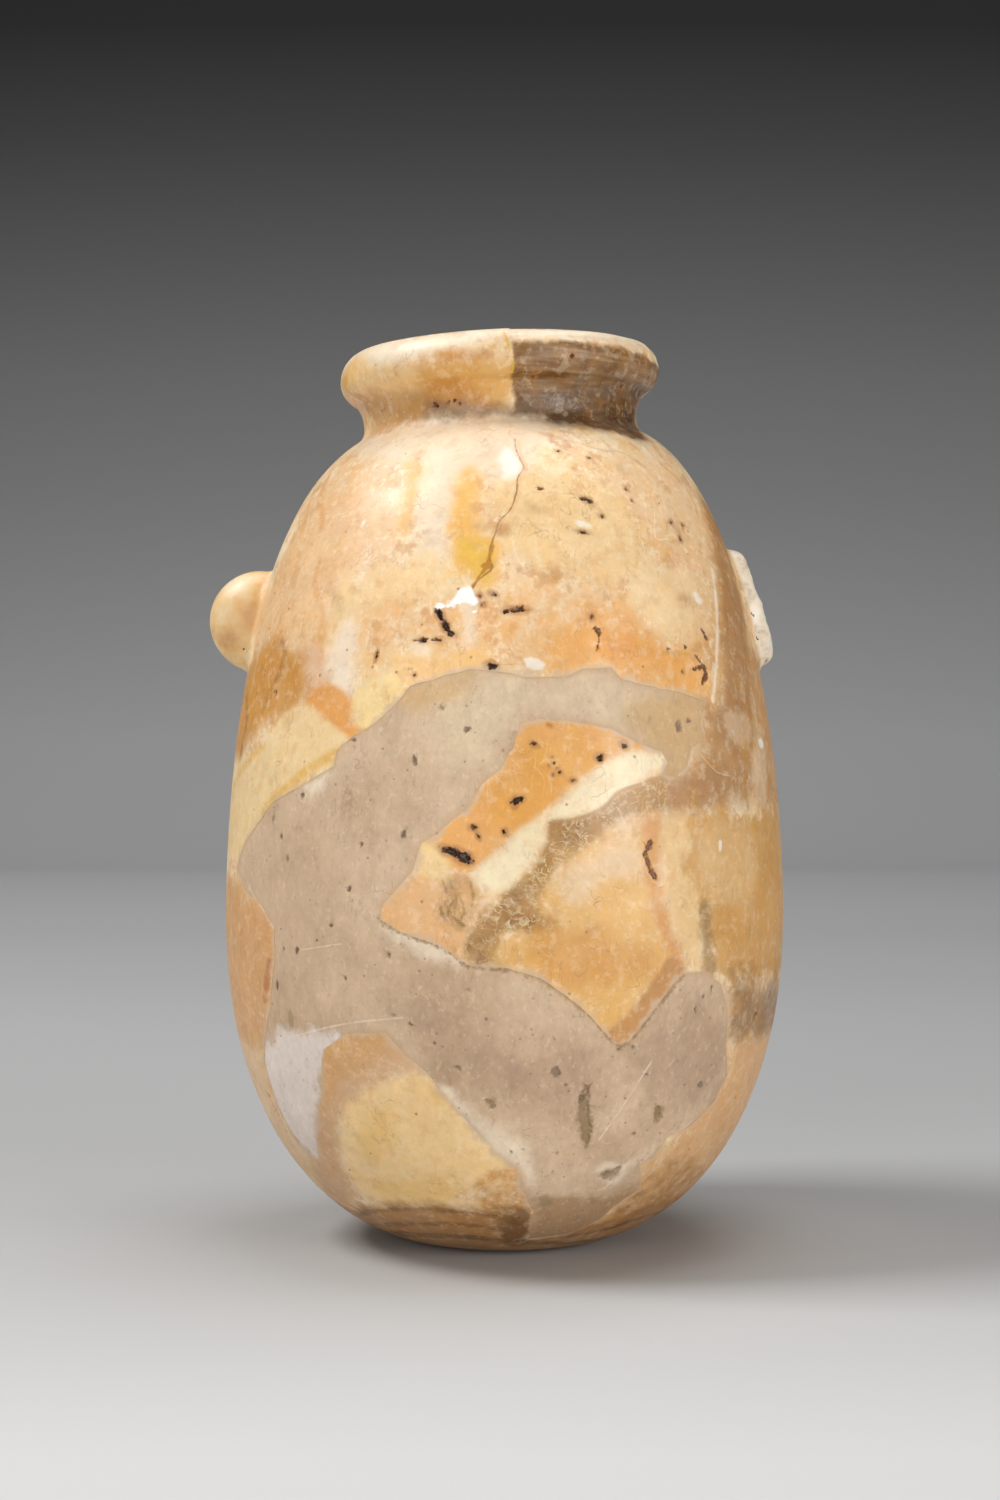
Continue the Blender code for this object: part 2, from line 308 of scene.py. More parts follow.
class Wall:
    """The whole line of the turned wall, inside and out, and the way to find a place on it."""

    def __init__(self, form: VesselForm) -> None:
        """Draw the line and make it searchable.

        Args:
            form: the form whose wall this is.
        """
        self.form = form
        inner = form.inner_line()
        self.line = np.vstack([inner, form.outer_line()])
        steps = np.diff(self.line, axis=0)
        lengths = np.hypot(steps[:, 0], steps[:, 1])
        keep = np.concatenate([[True], lengths > MERGE_DISTANCE])
        self.line = self.line[keep]
        steps = np.diff(self.line, axis=0)
        self.along = np.concatenate([[0.0], np.cumsum(np.hypot(steps[:, 0], steps[:, 1]))])
        self.rim_along = float(self.along[np.count_nonzero(keep[:len(inner)]) - 1])
        tangent = np.gradient(self.line, self.along, axis=0)
        self.tangent = tangent / np.linalg.norm(tangent, axis=1)[:, None]
        self.tree = KDTree(len(self.line))
        for index, (out, up) in enumerate(self.line):
            self.tree.insert((out, up, 0.0), index)
        self.tree.balance()
        flat = form.lip_radius - form.lip_overhang - form.mouth_radius - form.mouth_rounding
        outside = self.along > self.rim_along + flat - MERGE_DISTANCE
        self.outer_heights = self.line[outside][::-1, 1]
        self.outer_radii = self.line[outside][::-1, 0]
        self.outer_along = self.along[outside][::-1]

    def spaced(self, spacing: Callable[[np.ndarray, np.ndarray], np.ndarray]) -> np.ndarray:
        """Draw the line with steps of a chosen length.

        Args:
            spacing: gives the wanted step from rows of radius and height and their along.

        Returns:
            Rows of radius and height.
        """
        middles = (self.line[1:] + self.line[:-1]) / 2
        steps = np.diff(self.along) / spacing(middles, (self.along[1:] + self.along[:-1]) / 2)
        count = np.concatenate([[0.0], np.cumsum(steps)])
        at = np.linspace(0.0, count[-1], round(count[-1]) + 1)
        return np.column_stack([np.interp(at, count, self.line[:, 0]),
                                np.interp(at, count, self.line[:, 1])])

    def locate(self, points: np.ndarray) -> Places:
        """Find the place on the wall that is nearest to each point.

        Args:
            points: rows on the upright form.

        Returns:
            The places.
        """
        out = np.hypot(points[:, 0], points[:, 1])
        flat = np.column_stack([out, points[:, 2]])
        nearest = np.array([self.tree.find((r, z, 0.0))[1] for r, z in flat])
        offset = flat - self.line[nearest]
        tangent = self.tangent[nearest]
        right = np.column_stack([-tangent[:, 1], tangent[:, 0]])
        gap = np.sum(offset * right, axis=1)
        slide = np.sum(offset * tangent, axis=1)
        azimuth = np.arctan2(points[:, 0], -points[:, 1])
        normal = np.column_stack([right[:, 0] * np.sin(azimuth), -right[:, 0] * np.cos(azimuth),
                                  right[:, 1]])
        return Places(azimuth, self.along[nearest] + slide, out, gap, normal)

    def outer_radius(self, heights: np.ndarray) -> np.ndarray:
        """Give the outside's radius at heights, and below 0 past the foot and the rim."""
        radii = np.interp(heights, self.outer_heights, self.outer_radii)
        past = np.maximum(heights - self.form.rim_height, 0.0) + np.maximum(-heights, 0.0)
        return np.where(past > 0, -past, radii)

    def along_at(self, heights: np.ndarray) -> np.ndarray:
        """Give the distance along the line of the outside at heights."""
        return np.interp(heights, self.outer_heights, self.outer_along)


@dataclass(frozen=True)
class PhotoCamera:
    """The camera that took the photograph: level, and looking along +Y."""

    position: tuple[float, float, float] = (-0.00095, -0.525, 0.105)
    lens: float = 58.0
    sensor: float = 36.0
    width: int = 1000
    height: int = 1500
    near: float = 0.44
    far: float = 0.56
    miss_turn: float = math.radians(4.0)

    def directions(self, pixels: np.ndarray) -> np.ndarray:
        """Give the ray through each pixel, one metre deep."""
        focal = self.lens / self.sensor * self.height
        return np.column_stack([(pixels[:, 0] - self.width / 2) / focal, np.ones(len(pixels)),
                                (self.height / 2 - pixels[:, 1]) / focal])

    def throw(self, pixels: Pixels, wall: Wall) -> np.ndarray:
        """Throw pixels onto the vessel.

        A pixel beside the vessel lies round its side, by miss_turn for each millimetre.

        Args:
            pixels: x and y of points of the photograph, in turn.
            wall: the wall that they land on.

        Returns:
            Rows of azimuth and distance along the wall's line.
        """
        rays = self.directions(np.reshape(pixels, (-1, 2)))
        depths = np.linspace(self.near, self.far, 481)
        points = np.array(self.position) + depths[None, :, None] * rays[:, None, :]
        gaps = self.gap(points.reshape(-1, 3), wall).reshape(len(rays), -1)
        inside = gaps < 0
        hit = inside.any(axis=1)
        first = np.where(hit, inside.argmax(axis=1), gaps.argmin(axis=1))
        deep = depths[first]
        shallow = depths[np.maximum(first - 1, 0)]
        for _ in range(16):
            middle = (deep + shallow) / 2
            within = self.gap(np.array(self.position) + middle[:, None] * rays, wall) < 0
            deep = np.where(hit & within, middle, deep)
            shallow = np.where(hit & ~within, middle, shallow)
        landed = wall.form.upright(np.array(self.position) + deep[:, None] * rays)
        azimuth = np.arctan2(landed[:, 0], -landed[:, 1])
        miss = np.where(hit, 0.0, gaps.min(axis=1)) / MM
        azimuth += np.sign(azimuth) * miss * self.miss_turn
        return np.column_stack([azimuth, wall.along_at(landed[:, 2])])

    @staticmethod
    def gap(points: np.ndarray, wall: Wall) -> np.ndarray:
        """Give how far points on the real vessel stand outside it, measured level."""
        upright = wall.form.upright(points)
        return np.hypot(upright[:, 0], upright[:, 1]) - wall.outer_radius(upright[:, 2])


@dataclass(frozen=True)
class Patch:
    """A patch of colour on the wall, with the hollow that it lies in.

    Blur, wander and depth are in millimetres, and cover is the share of the ground that the
    colour hides. An outline is closed, and gives x and y in turn. A stroke is its width in
    millimetres and its path; a spot is its middle, half length, half width and turn in degrees.
    """

    name: str
    colour: str
    blur: float = 2.0
    wander: float = 1.0
    cover: float = 1.0
    outlines: tuple[Pixels, ...] = ()
    strokes: tuple[tuple[float, Pixels], ...] = ()
    spots: tuple[tuple[float, float, float, float, float], ...] = ()
    depth: float = 0.0
    ragged: float = 0.4
    texture: Texture = Texture.PLAIN
    chart: Chart = Chart.PHOTO


def rounded(points: np.ndarray, closed: bool, steps: int = 4) -> np.ndarray:
    """Draw a smooth curve through points.

    Args:
        points: rows of two coordinates.
        closed: whether the last point joins the first.
        steps: how many pieces each span is cut into.

    Returns:
        Rows along the curve.
    """
    if closed:
        padded = np.vstack([points[-1:], points, points[:2]])
    else:
        padded = np.vstack([2 * points[:1] - points[1:2], points, 2 * points[-1:] - points[-2:-1]])
    share = (np.arange(steps) / steps)[:, None]
    pieces = []
    for before, start, end, after in zip(padded, padded[1:], padded[2:], padded[3:]):
        bend = 2 * before - 5 * start + 4 * end - after
        twist = -before + 3 * start - 3 * end + after
        pieces.append(start + share * (end - before) / 2 + share ** 2 * bend / 2
                      + share ** 3 * twist / 2)
    curve = np.vstack(pieces)
    return curve if closed else np.vstack([curve, points[-1:]])


class Surveyor:
    """Measures how far points of the wall lie from traced lines, in millimetres."""

    reach = 7.0

    def __init__(self, wall: Wall, camera: PhotoCamera) -> None:
        """Keep what the measuring needs.

        Args:
            wall: the wall that is measured on.
            camera: the camera whose photograph the lines are traced on.
        """
        self.wall = wall
        self.camera = camera
        focal = camera.lens / camera.sensor * camera.height
        self.pixel = -camera.position[1] / focal / MM

    def chart_points(self, points: Pixels, chart: Chart) -> np.ndarray:
        """Bring traced points onto the wall.

        Args:
            points: the chart's two coordinates of each point, in turn.
            chart: what they are read on.

        Returns:
            Rows of azimuth and distance along the wall's line.
        """
        if chart is Chart.PHOTO:
            return self.camera.throw(points, self.wall)
        rows = np.reshape(points, (-1, 2))
        return np.column_stack([np.radians(rows[:, 0]), self.wall.along_at(rows[:, 1] * MM)])

    def near(self, places: Places, line: np.ndarray, reach: float) -> tuple[np.ndarray, np.ndarray]:
        """Pick the points that a line may reach.

        Args:
            places: the points' places.
            line: rows of azimuth and along.
            reach: how far the line reaches, in millimetres.

        Returns:
            The picked points' indices, and their azimuths counted from the line's middle.
        """
        middle = (line[:, 0].min() + line[:, 0].max()) / 2
        turned = (places.azimuth - middle + math.pi) % (2 * math.pi) - math.pi
        across = np.abs(turned) - (line[:, 0].max() - line[:, 0].min()) / 2
        beside = across * places.radius < reach * MM
        low, high = line[:, 1].min() - reach * MM, line[:, 1].max() + reach * MM
        outside = places.along > self.wall.rim_along
        picked = np.flatnonzero(beside & outside & (places.along > low) & (places.along < high))
        return picked, turned[picked] + middle

    def line_distance(self, places: Places, line: np.ndarray, reach: float) -> np.ndarray:
        """Measure each point's distance from an open line.

        Args:
            places: the points' places.
            line: rows of azimuth and along.
            reach: the distance at which the measuring stops, in millimetres.

        Returns:
            The distances in millimetres, at most reach.
        """
        found = np.full(len(places.azimuth), reach)
        picked, azimuth = self.near(places, line, reach)
        radius = places.radius[picked] / MM
        along = places.along[picked] / MM
        best = np.full(len(picked), reach)
        for start, end in zip(line, line[1:]):
            start_x = (start[0] - azimuth) * radius
            start_y = start[1] / MM - along
            step_x = (end[0] - start[0]) * radius
            step_y = (end[1] - start[1]) / MM
            length = np.maximum(step_x ** 2 + step_y ** 2, 1e-9)
            share = np.clip(-(start_x * step_x + start_y * step_y) / length, 0.0, 1.0)
            best = np.minimum(best, np.hypot(start_x + share * step_x, start_y + share * step_y))
        found[picked] = best
        return found

    def outline_depth(self, places: Places, line: np.ndarray, reach: float) -> np.ndarray:
        """Measure how deep each point lies inside a closed line.

        Args:
            places: the points' places.
            line: rows of azimuth and along, without the first again at the end.
            reach: the distance at which the measuring stops, in millimetres.

        Returns:
            Millimetres, above 0 inside.
        """
        ring = np.vstack([line, line[:1]])
        distance = self.line_distance(places, ring, reach)
        picked, azimuth = self.near(places, line, 0.0)
        along = places.along[picked]
        inside = np.zeros(len(picked), dtype=bool)
        for start, end in zip(ring, ring[1:]):
            crosses = (start[1] > along) != (end[1] > along)
            run = end[1] - start[1]
            if run == 0.0:
                continue
            where = start[0] + (along - start[1]) / run * (end[0] - start[0])
            inside ^= crosses & (azimuth < where)
        signed = -distance
        signed[picked[inside]] *= -1.0
        return signed

    def spot_depth(self, places: Places, spot: tuple[float, ...], chart: Chart) -> np.ndarray:
        """Measure how deep each point lies inside an elliptical spot.

        Args:
            places: the points' places.
            spot: the spot's middle, half length, half width and turn.
            chart: what the spot is read on.

        Returns:
            Millimetres, above 0 inside.
        """
        middle_x, middle_y, length, width, turn = spot
        middle = self.chart_points((middle_x, middle_y), chart)
        scale = 1.0 if chart is Chart.WALL else self.pixel
        half_length, half_width = length * scale, width * scale
        depth = np.full(len(places.azimuth), -self.reach)
        picked, azimuth = self.near(places, middle, self.reach + half_length)
        across = (azimuth - middle[0, 0]) * places.radius[picked] / MM
        down = (places.along[picked] - middle[0, 1]) / MM
        cosine, sine = math.cos(math.radians(turn)), math.sin(math.radians(turn))
        share = np.hypot((across * cosine + down * sine) / half_length,
                         (down * cosine - across * sine) / half_width)
        depth[picked] = np.maximum((1.0 - share) * half_width, -self.reach)
        return depth

    def measure(self, patch: Patch, places: Places) -> np.ndarray:
        """Measure how deep each point lies inside a patch.

        Args:
            patch: the patch.
            places: the points' places.

        Returns:
            Millimetres, above 0 inside.
        """
        depth = np.full(len(places.azimuth), -self.reach)
        for outline in patch.outlines:
            line = rounded(self.chart_points(outline, patch.chart), closed=True)
            depth = np.maximum(depth, self.outline_depth(places, line, self.reach))
        for width, path in patch.strokes:
            line = rounded(self.chart_points(path, patch.chart), closed=False)
            depth = np.maximum(depth, width / 2 - self.line_distance(places, line, self.reach))
        for spot in patch.spots:
            depth = np.maximum(depth, self.spot_depth(places, spot, patch.chart))
        return depth


class Shaper:
    """Mesh steps that both pieces of the vessel share."""

    @staticmethod
    def face_out(bm: bmesh.types.BMesh) -> None:
        """Turn every face of a closed shape outwards."""
        bmesh.ops.recalc_face_normals(bm, faces=bm.faces)
        if bm.calc_volume(signed=True) < 0:
            bmesh.ops.reverse_faces(bm, faces=bm.faces)

    @staticmethod
    def turned(line: np.ndarray, front_steps: int, back_steps: int) -> bmesh.types.BMesh:
        """Turn a line into a closed shell, finer at the front than at the back.

        Args:
            line: rows of radius and height, with both ends on the axis.
            front_steps: how many steps the front half takes.
            back_steps: how many the back half takes.

        Returns:
            The shell in triangles.
        """
        bm = bmesh.new()
        verts = [bm.verts.new((-out, 0.0, up)) for out, up in line]
        edges = [bm.edges.new(pair) for pair in zip(verts, verts[1:])]
        for angle, steps in ((math.pi, front_steps), (-math.pi, back_steps)):
            bmesh.ops.spin(bm, geom=verts + edges, cent=(0, 0, 0), axis=(0, 0, 1), dvec=(0, 0, 0),
                           angle=angle, steps=steps, use_merge=False, use_duplicate=False)
        bmesh.ops.remove_doubles(bm, verts=bm.verts, dist=MERGE_DISTANCE)
        bmesh.ops.triangulate(bm, faces=bm.faces)
        Shaper.face_out(bm)
        return bm

    @staticmethod
    def joined(body: bmesh.types.BMesh, tool: bmesh.types.BMesh, how: Join) -> bmesh.types.BMesh:
        """Join two closed shapes, and free neither of them.

        Args:
            body: the shape that is changed.
            tool: the shape that changes it.
            how: the way they are joined.

        Returns:
            The new shape in triangles.
        """
        objects = []
        for name, shape in (("body", body), ("tool", tool)):
            mesh = bpy.data.meshes.new(name)
            shape.to_mesh(mesh)
            objects.append(linked(name, mesh))
        modifier = objects[0].modifiers.new(how.value.lower(), "BOOLEAN")
        modifier.operation = how.value
        modifier.solver = "EXACT"
        modifier.object = objects[1]
        bpy.context.view_layer.update()
        evaluated = objects[0].evaluated_get(bpy.context.evaluated_depsgraph_get())
        bm = bmesh.new()
        bm.from_mesh(evaluated.to_mesh())
        for item in objects:
            mesh = item.data
            bpy.data.objects.remove(item)
            bpy.data.meshes.remove(mesh)
        bmesh.ops.triangulate(bm, faces=bm.faces)
        return bm

    @staticmethod
    def positions(bm: bmesh.types.BMesh) -> np.ndarray:
        """Give rows of the shape's points."""
        return np.array([vert.co[:] for vert in bm.verts])

    @staticmethod
    def refine(bm: bmesh.types.BMesh, wanted: Callable[[np.ndarray], np.ndarray],
               passes: int) -> None:
        """Cut edges in half where the surface needs a finer mesh.

        Args:
            bm: the shape, in triangles.
            wanted: gives the longest edge wanted at rows of points, in metres.
            passes: how many times the edges are looked through.
        """
        for _ in range(passes):
            edges = bm.edges[:]
            ends = np.array([[*edge.verts[0].co, *edge.verts[1].co] for edge in edges])
            lengths = np.linalg.norm(ends[:, :3] - ends[:, 3:], axis=1)
            long = lengths > wanted((ends[:, :3] + ends[:, 3:]) / 2)
            chosen = [edges[index] for index in np.flatnonzero(long)]
            if not chosen:
                return
            bmesh.ops.subdivide_edges(bm, edges=chosen, cuts=1)
            wide = [face for face in bm.faces if len(face.verts) > 3]
            bmesh.ops.triangulate(bm, faces=wide)


@dataclass(frozen=True)
class Lug:
    """A lug cut solid from the wall, whole or with its outer end broken off."""

    form: VesselForm
    side: int
    level: float
    height: float
    stub: float | None = None
    reach: float = 0.0109
    width: float = 0.014
    backset: float = 0.002
    face_tilt: float = math.radians(17.7)
    roughness: float = 0.0005
    fillet: float = 0.0022
    bruise: float = 0.003

    @cached_property
    def centre(self) -> np.ndarray:
        """Middle of the lug on the upright form."""
        shift = self.form.neck_shift * float(self.form.lean_share(np.array(self.level)))
        real = [[self.side * self.form.body_radius(self.level) + shift, self.backset, self.level]]
        return self.form.upright(np.array(real))[0]

    @property
    def break_normal(self) -> np.ndarray:
        """Direction that the broken face looks in."""
        return np.array([self.side * math.cos(self.face_tilt), 0.0, math.sin(self.face_tilt)])

    def shape(self) -> bmesh.types.BMesh:
        """Model the lug as a closed knob.

        Returns:
            The knob in triangles.
        """
        bm = bmesh.new()
        bmesh.ops.create_uvsphere(bm, u_segments=56, v_segments=40, radius=1.0)
        bmesh.ops.scale(bm, vec=(self.reach, self.width / 2, self.height / 2), verts=bm.verts)
        if self.stub is not None:
            cut = bmesh.ops.bisect_plane(bm, geom=bm.verts[:] + bm.edges[:] + bm.faces[:],
                                         plane_co=(self.side * self.stub, 0, 0),
                                         plane_no=self.break_normal, clear_outer=True)
            rim = [item for item in cut["geom_cut"] if isinstance(item, bmesh.types.BMEdge)]
            bmesh.ops.edgeloop_fill(bm, edges=rim)
        bmesh.ops.translate(bm, vec=self.centre, verts=bm.verts)
        bmesh.ops.triangulate(bm, faces=bm.faces)
        Shaper.face_out(bm)
        return bm

    def gap(self, points: np.ndarray) -> np.ndarray:
        """Measure how far points stand outside the lug.

        Args:
            points: rows on the upright form.

        Returns:
            Metres, below 0 inside the lug.
        """
        size = np.array([self.reach, self.width / 2, self.height / 2])
        offset = points - self.centre
        share = np.linalg.norm(offset / size, axis=1)
        slope = np.linalg.norm(offset / size ** 2, axis=1)
        knob = share * (share - 1.0) / np.maximum(slope, 1e-6)
        if self.stub is None:
            return knob
        face = (offset - np.array([self.side * self.stub, 0.0, 0.0])) @ self.break_normal
        coarse = noise_at(points, 0.0042, 3.1)
        fine = noise_at(points, 0.0014, 7.7)
        broken = face + self.roughness * (0.9 + coarse + 0.45 * fine)
        blend = np.maximum(self.bruise - np.abs(knob - broken), 0.0) / self.bruise
        return np.maximum(knob, broken) + blend ** 2 * self.bruise / 4


@dataclass(frozen=True)
class BrokenWindow:
    """The gap broken through the front wall, and the slab that cuts it out."""

    wall: Wall
    surveyor: Surveyor
    outline: Pixels
    step: float = 0.0013
    raggedness: float = 0.00028
    column: float = math.radians(4)
    row: float = 0.005
    merge: float = 0.0001
    proud: float = 0.003
    heart_share: float = 0.7

    def ring(self) -> np.ndarray:
        """Draw the broken edge with its own small corners.

        Returns:
            Rows of azimuth and distance along the wall's line.
        """
        corners = self.surveyor.chart_points(self.outline, Chart.PHOTO)
        rows = []
        for start, end in zip(corners, np.vstack([corners[1:], corners[:1]])):
            radius = float(self.wall.outer_radius(self.heights(start[None, 1]))[0])
            run = (end - start) * np.array([radius, 1.0])
            length = math.hypot(*run)
            count = max(1, round(length / self.step))
            across = np.array([-run[1], run[0]]) / length / np.array([radius, 1.0])
            for index in range(count):
                point = start + (end - start) * index / count
                place = Vector((point[0] * radius, point[1], 0.0)) / (2 * self.step)
                rows.append(point + across * self.raggedness * noise.noise(place))
        return np.array(rows)

    def heights(self, along: np.ndarray) -> np.ndarray:
        """Give the heights of places on the outside."""
        return np.interp(along, self.wall.outer_along[::-1], self.wall.outer_heights[::-1])

    def on_wall(self, ring: np.ndarray) -> np.ndarray:
        """Give the points of the wall at rows of azimuth and distance along its line."""
        height = self.heights(ring[:, 1])
        radius = self.wall.outer_radius(height)
        return np.column_stack([radius * np.sin(ring[:, 0]), -radius * np.cos(ring[:, 0]), height])

    def slab(self, ring: np.ndarray) -> bmesh.types.BMesh:
        """Model the slab that cuts along the broken edge, through the whole wall.

        Args:
            ring: rows of azimuth and distance along the wall's line.

        Returns:
            The slab in triangles.
        """
        form = self.wall.form
        heights = self.heights(ring[:, 1])
        bm = bmesh.new()
        corners = [bm.verts.new((azimuth * form.belly_radius, height, 0.0))
                   for azimuth, height in zip(ring[:, 0], heights)]
        sides = [bm.edges.new(pair) for pair in zip(corners, corners[1:] + corners[:1])]
        bmesh.ops.edgeloop_fill(bm, edges=sides)
        bmesh.ops.triangulate(bm, faces=bm.faces)
        column = self.column * form.belly_radius
        for axis, step, ends in ((Vector((1, 0, 0)), column, ring[:, 0] * form.belly_radius),
                                 (Vector((0, 1, 0)), self.row, heights)):
            for index in range(math.ceil(ends.min() / step), math.floor(ends.max() / step) + 1):
                bmesh.ops.bisect_plane(bm, geom=bm.verts[:] + bm.edges[:] + bm.faces[:],
                                       dist=self.merge, plane_co=axis * step * index,
                                       plane_no=axis)
        for vert in bm.verts:
            azimuth, height = vert.co.x / form.belly_radius, vert.co.y
            radius = form.body_radius(height)
            vert.co = (radius * math.sin(azimuth), -radius * math.cos(azimuth), height)
        inner = bm.verts[:]
        grown = bmesh.ops.extrude_face_region(bm, geom=bm.faces[:], use_keep_orig=True)
        outer = [item for item in grown["geom"] if isinstance(item, bmesh.types.BMVert)]
        for verts, offset in ((inner, -(form.wall + form.floor)), (outer, self.proud)):
            for vert in verts:
                heart = Vector((0, 0, max(vert.co.z, self.heart_share * form.belly_height)))
                vert.co += (vert.co - heart).normalized() * offset
        bmesh.ops.triangulate(bm, faces=bm.faces)
        Shaper.face_out(bm)
        return bm


class EdgeFinder:
    """Measures how far points lie from the broken edge."""

    spacing = 0.0001

    def __init__(self, window: BrokenWindow, ring: np.ndarray) -> None:
        """Sow points along the edge.

        Args:
            window: the gap whose edge it is.
            ring: rows of azimuth and distance along the wall's line.
        """
        points = window.on_wall(np.vstack([ring, ring[:1]]))
        lengths = np.linalg.norm(np.diff(points, axis=0), axis=1)
        along = np.concatenate([[0.0], np.cumsum(lengths)])
        at = np.arange(0.0, along[-1], self.spacing)
        self.tree = KDTree(len(at))
        columns = [np.interp(at, along, points[:, axis]) for axis in range(3)]
        for index, point in enumerate(zip(*columns)):
            self.tree.insert(point, index)
        self.tree.balance()

    def distance(self, points: np.ndarray) -> np.ndarray:
        """Give each point's distance from the edge, in millimetres."""
        return np.array([self.tree.find(point)[2] for point in points]) / MM


class Graph:
    """A material's node tree, and the one way in which nodes are added to it."""

    def __init__(self, name: str) -> None:
        """Start a material of this name."""
        self.material = bpy.data.materials.new(name)
        self.material.use_nodes = True
        self.tree = self.material.node_tree
        self.tree.nodes.clear()

    @cached_property
    def place(self) -> Socket:
        """The object coordinates."""
        return self.add("TexCoord", out="Object")

    def add(self, kind: str, sockets: dict | None = None, out: int | str = 0, stops: Stops = (),
            **settings: object) -> Socket | None:
        """Add a node with its settings and links.

        Args:
            kind: the node's type, without its leading "ShaderNode".
            sockets: input names or numbers, each with a value or an output to link.
            out: the output that is wanted.
            stops: a ramp's places and hex colours.
            settings: the node's own properties.

        Returns:
            That output, or nothing where the node has none.
        """
        node = self.tree.nodes.new("ShaderNode" + kind)
        for name, value in settings.items():
            setattr(node, name, value)
        for index, (position, code) in enumerate(stops):
            elements = node.color_ramp.elements
            element = elements[index] if index < 2 else elements.new(position)
            element.position = position
            element.color = linear(code)
        for socket, value in (sockets or {}).items():
            if isinstance(value, Socket):
                self.tree.links.new(value, node.inputs[socket])
            else:
                node.inputs[socket].default_value = value
        return node.outputs[out] if node.outputs else None

    def tint(self, colour: Socket, tone: Socket | str, value: Socket, start: float = 0.0,
             end: float = 1.0, low: float = 0.0, high: float = 1.0) -> Socket:
        """Lay a tone over a colour, more or less of it by a value.

        Args:
            colour: the ground.
            tone: the tone, as an output or a hex colour.
            value: what says how much of the tone shows.
            start: the value at which the low share shows.
            end: the value at which the high share shows.
            low: the share of the ground that is hidden at the start.
            high: the share that is hidden at the end.

        Returns:
            The tinted colour.
        """
        cover = self.add("MapRange", {"Value": value, "From Min": start, "From Max": end,
                                      "To Min": low, "To Max": high})
        tone = linear(tone) if isinstance(tone, str) else tone
        return self.add("Mix", {0: cover, 6: colour, 7: tone}, out=2, data_type="RGBA")

    def clouded(self, colour: Socket, place: Socket,
                clouds: tuple[tuple[float, float, float], ...]) -> Socket:
        """Shade a colour by clouds.

        Args:
            colour: the ground.
            place: where the clouds are read.
            clouds: each cloud's size in metres, its strength and its detail.

        Returns:
            The shaded colour.
        """
        for size, amount, detail in clouds:
            cloud = self.add("TexNoise", {"Vector": place, "Scale": 1 / size, "Detail": detail})
            shade = self.add("Math", {0: cloud, 1: amount, 2: 1 - 0.5 * amount},
                             operation="MULTIPLY_ADD")
            colour = self.add("Mix", {0: 1.0, 6: colour, 7: shade}, out=2, data_type="RGBA",
                              blend_type="MULTIPLY")
        return colour

    def off_middle(self, wave: Socket) -> Socket:
        """Give how far a noise lies from its middle, where thin lines wander."""
        off = self.add("Math", {0: wave, 1: 0.5}, operation="SUBTRACT")
        return self.add("Math", {0: off}, operation="ABSOLUTE")

    def border_noise(self) -> Socket:
        """Make the noise that moves the borders of patches, from about -1 to 1."""
        broad = self.add("TexNoise", {"Vector": self.place, "Scale": 1 / 0.006, "Detail": 2.0})
        fine = self.add("TexNoise", {"Vector": self.place, "Scale": 1 / 0.0014, "Detail": 3.0})
        broad = self.add("Math", {0: broad, 1: 2.6, 2: -1.9}, operation="MULTIPLY_ADD")
        return self.add("Math", {0: fine, 1: 1.2, 2: broad}, operation="MULTIPLY_ADD")

    def paint(self, colour: Socket, patches: Iterable[Patch], wander: Socket,
              textures: dict[Texture, Socket]) -> Socket:
        """Lay patches over a colour, each with a border that wanders.

        Args:
            colour: the ground.
            patches: the patches, in the order in which they are laid.
            wander: noise from about -1 to 1 that moves the borders.
            textures: what breaks up the patches that aren't plain.

        Returns:
            The painted colour.
        """
        for patch in patches:
            depth = self.add("Attribute", out="Fac", attribute_name=patch.name)
            edge = self.add("Math", {0: wander, 1: patch.wander, 2: depth},
                            operation="MULTIPLY_ADD")
            cover = self.add("MapRange", {"Value": edge, "From Min": -patch.blur / 2,
                                          "From Max": patch.blur / 2, "To Max": patch.cover},
                             interpolation_type="SMOOTHSTEP")
            if patch.texture is not Texture.PLAIN:
                cover = self.add("Math", {0: cover, 1: textures[patch.texture]},
                                 operation="MULTIPLY")
            colour = self.add("Mix", {0: cover, 6: colour, 7: linear(patch.colour)}, out=2,
                              data_type="RGBA")
        return colour

    def flecked(self, colour: Socket, pale: str, dark: str) -> Socket:
        """Lay in hair-fine pale squiggles and scratches, thin brown fissures and dark specks.

        The real ones are about 0.1 mm wide, and drawn three times as wide so that they show.

        Args:
            colour: the colour so far.
            pale: the squiggles' colour.
            dark: the fissures' and specks' colour.

        Returns:
            The flecked colour.
        """
        lines = ((0.003, 6.0, 0.012, 0.53, 0.2, pale, (1.0, 1.0, 1.0)),
                 (0.009, 7.0, 0.006, 0.56, 0.5, dark, (1.0, 1.0, 1.0)),
                 (0.0026, 8.0, 0.015, 0.55, 0.17, pale, (1.0, 1.0, 0.16)),
                 (0.0026, 9.0, 0.015, 0.56, 0.15, pale, (0.2, 0.2, 1.0)),
                 (0.002, 10.0, 0.024, 0.55, 0.3, dark, (1.0, 1.0, 0.3)))
        for size, seed, width, start, share, code, stretch in lines:
            drawn = self.add("VectorMath", {0: self.place, 1: stretch}, operation="MULTIPLY")
            wave = self.add("TexNoise", {"Vector": drawn, "W": seed, "Scale": 1 / size,
                                         "Detail": 2.5, "Roughness": 0.55}, noise_dimensions="4D")
            line = self.add("MapRange", {"Value": self.off_middle(wave), "From Max": width,
                                         "To Min": share, "To Max": 0.0})
            where = self.add("TexNoise", {"Vector": self.place, "W": seed + 10,
                                          "Scale": 1 / 0.007, "Detail": 3.0},
                             noise_dimensions="4D")
            here = self.add("MapRange", {"Value": where, "From Min": start,
                                         "From Max": start + 0.08})
            cover = self.add("Math", {0: line, 1: here}, operation="MULTIPLY")
            colour = self.tint(colour, code, cover)
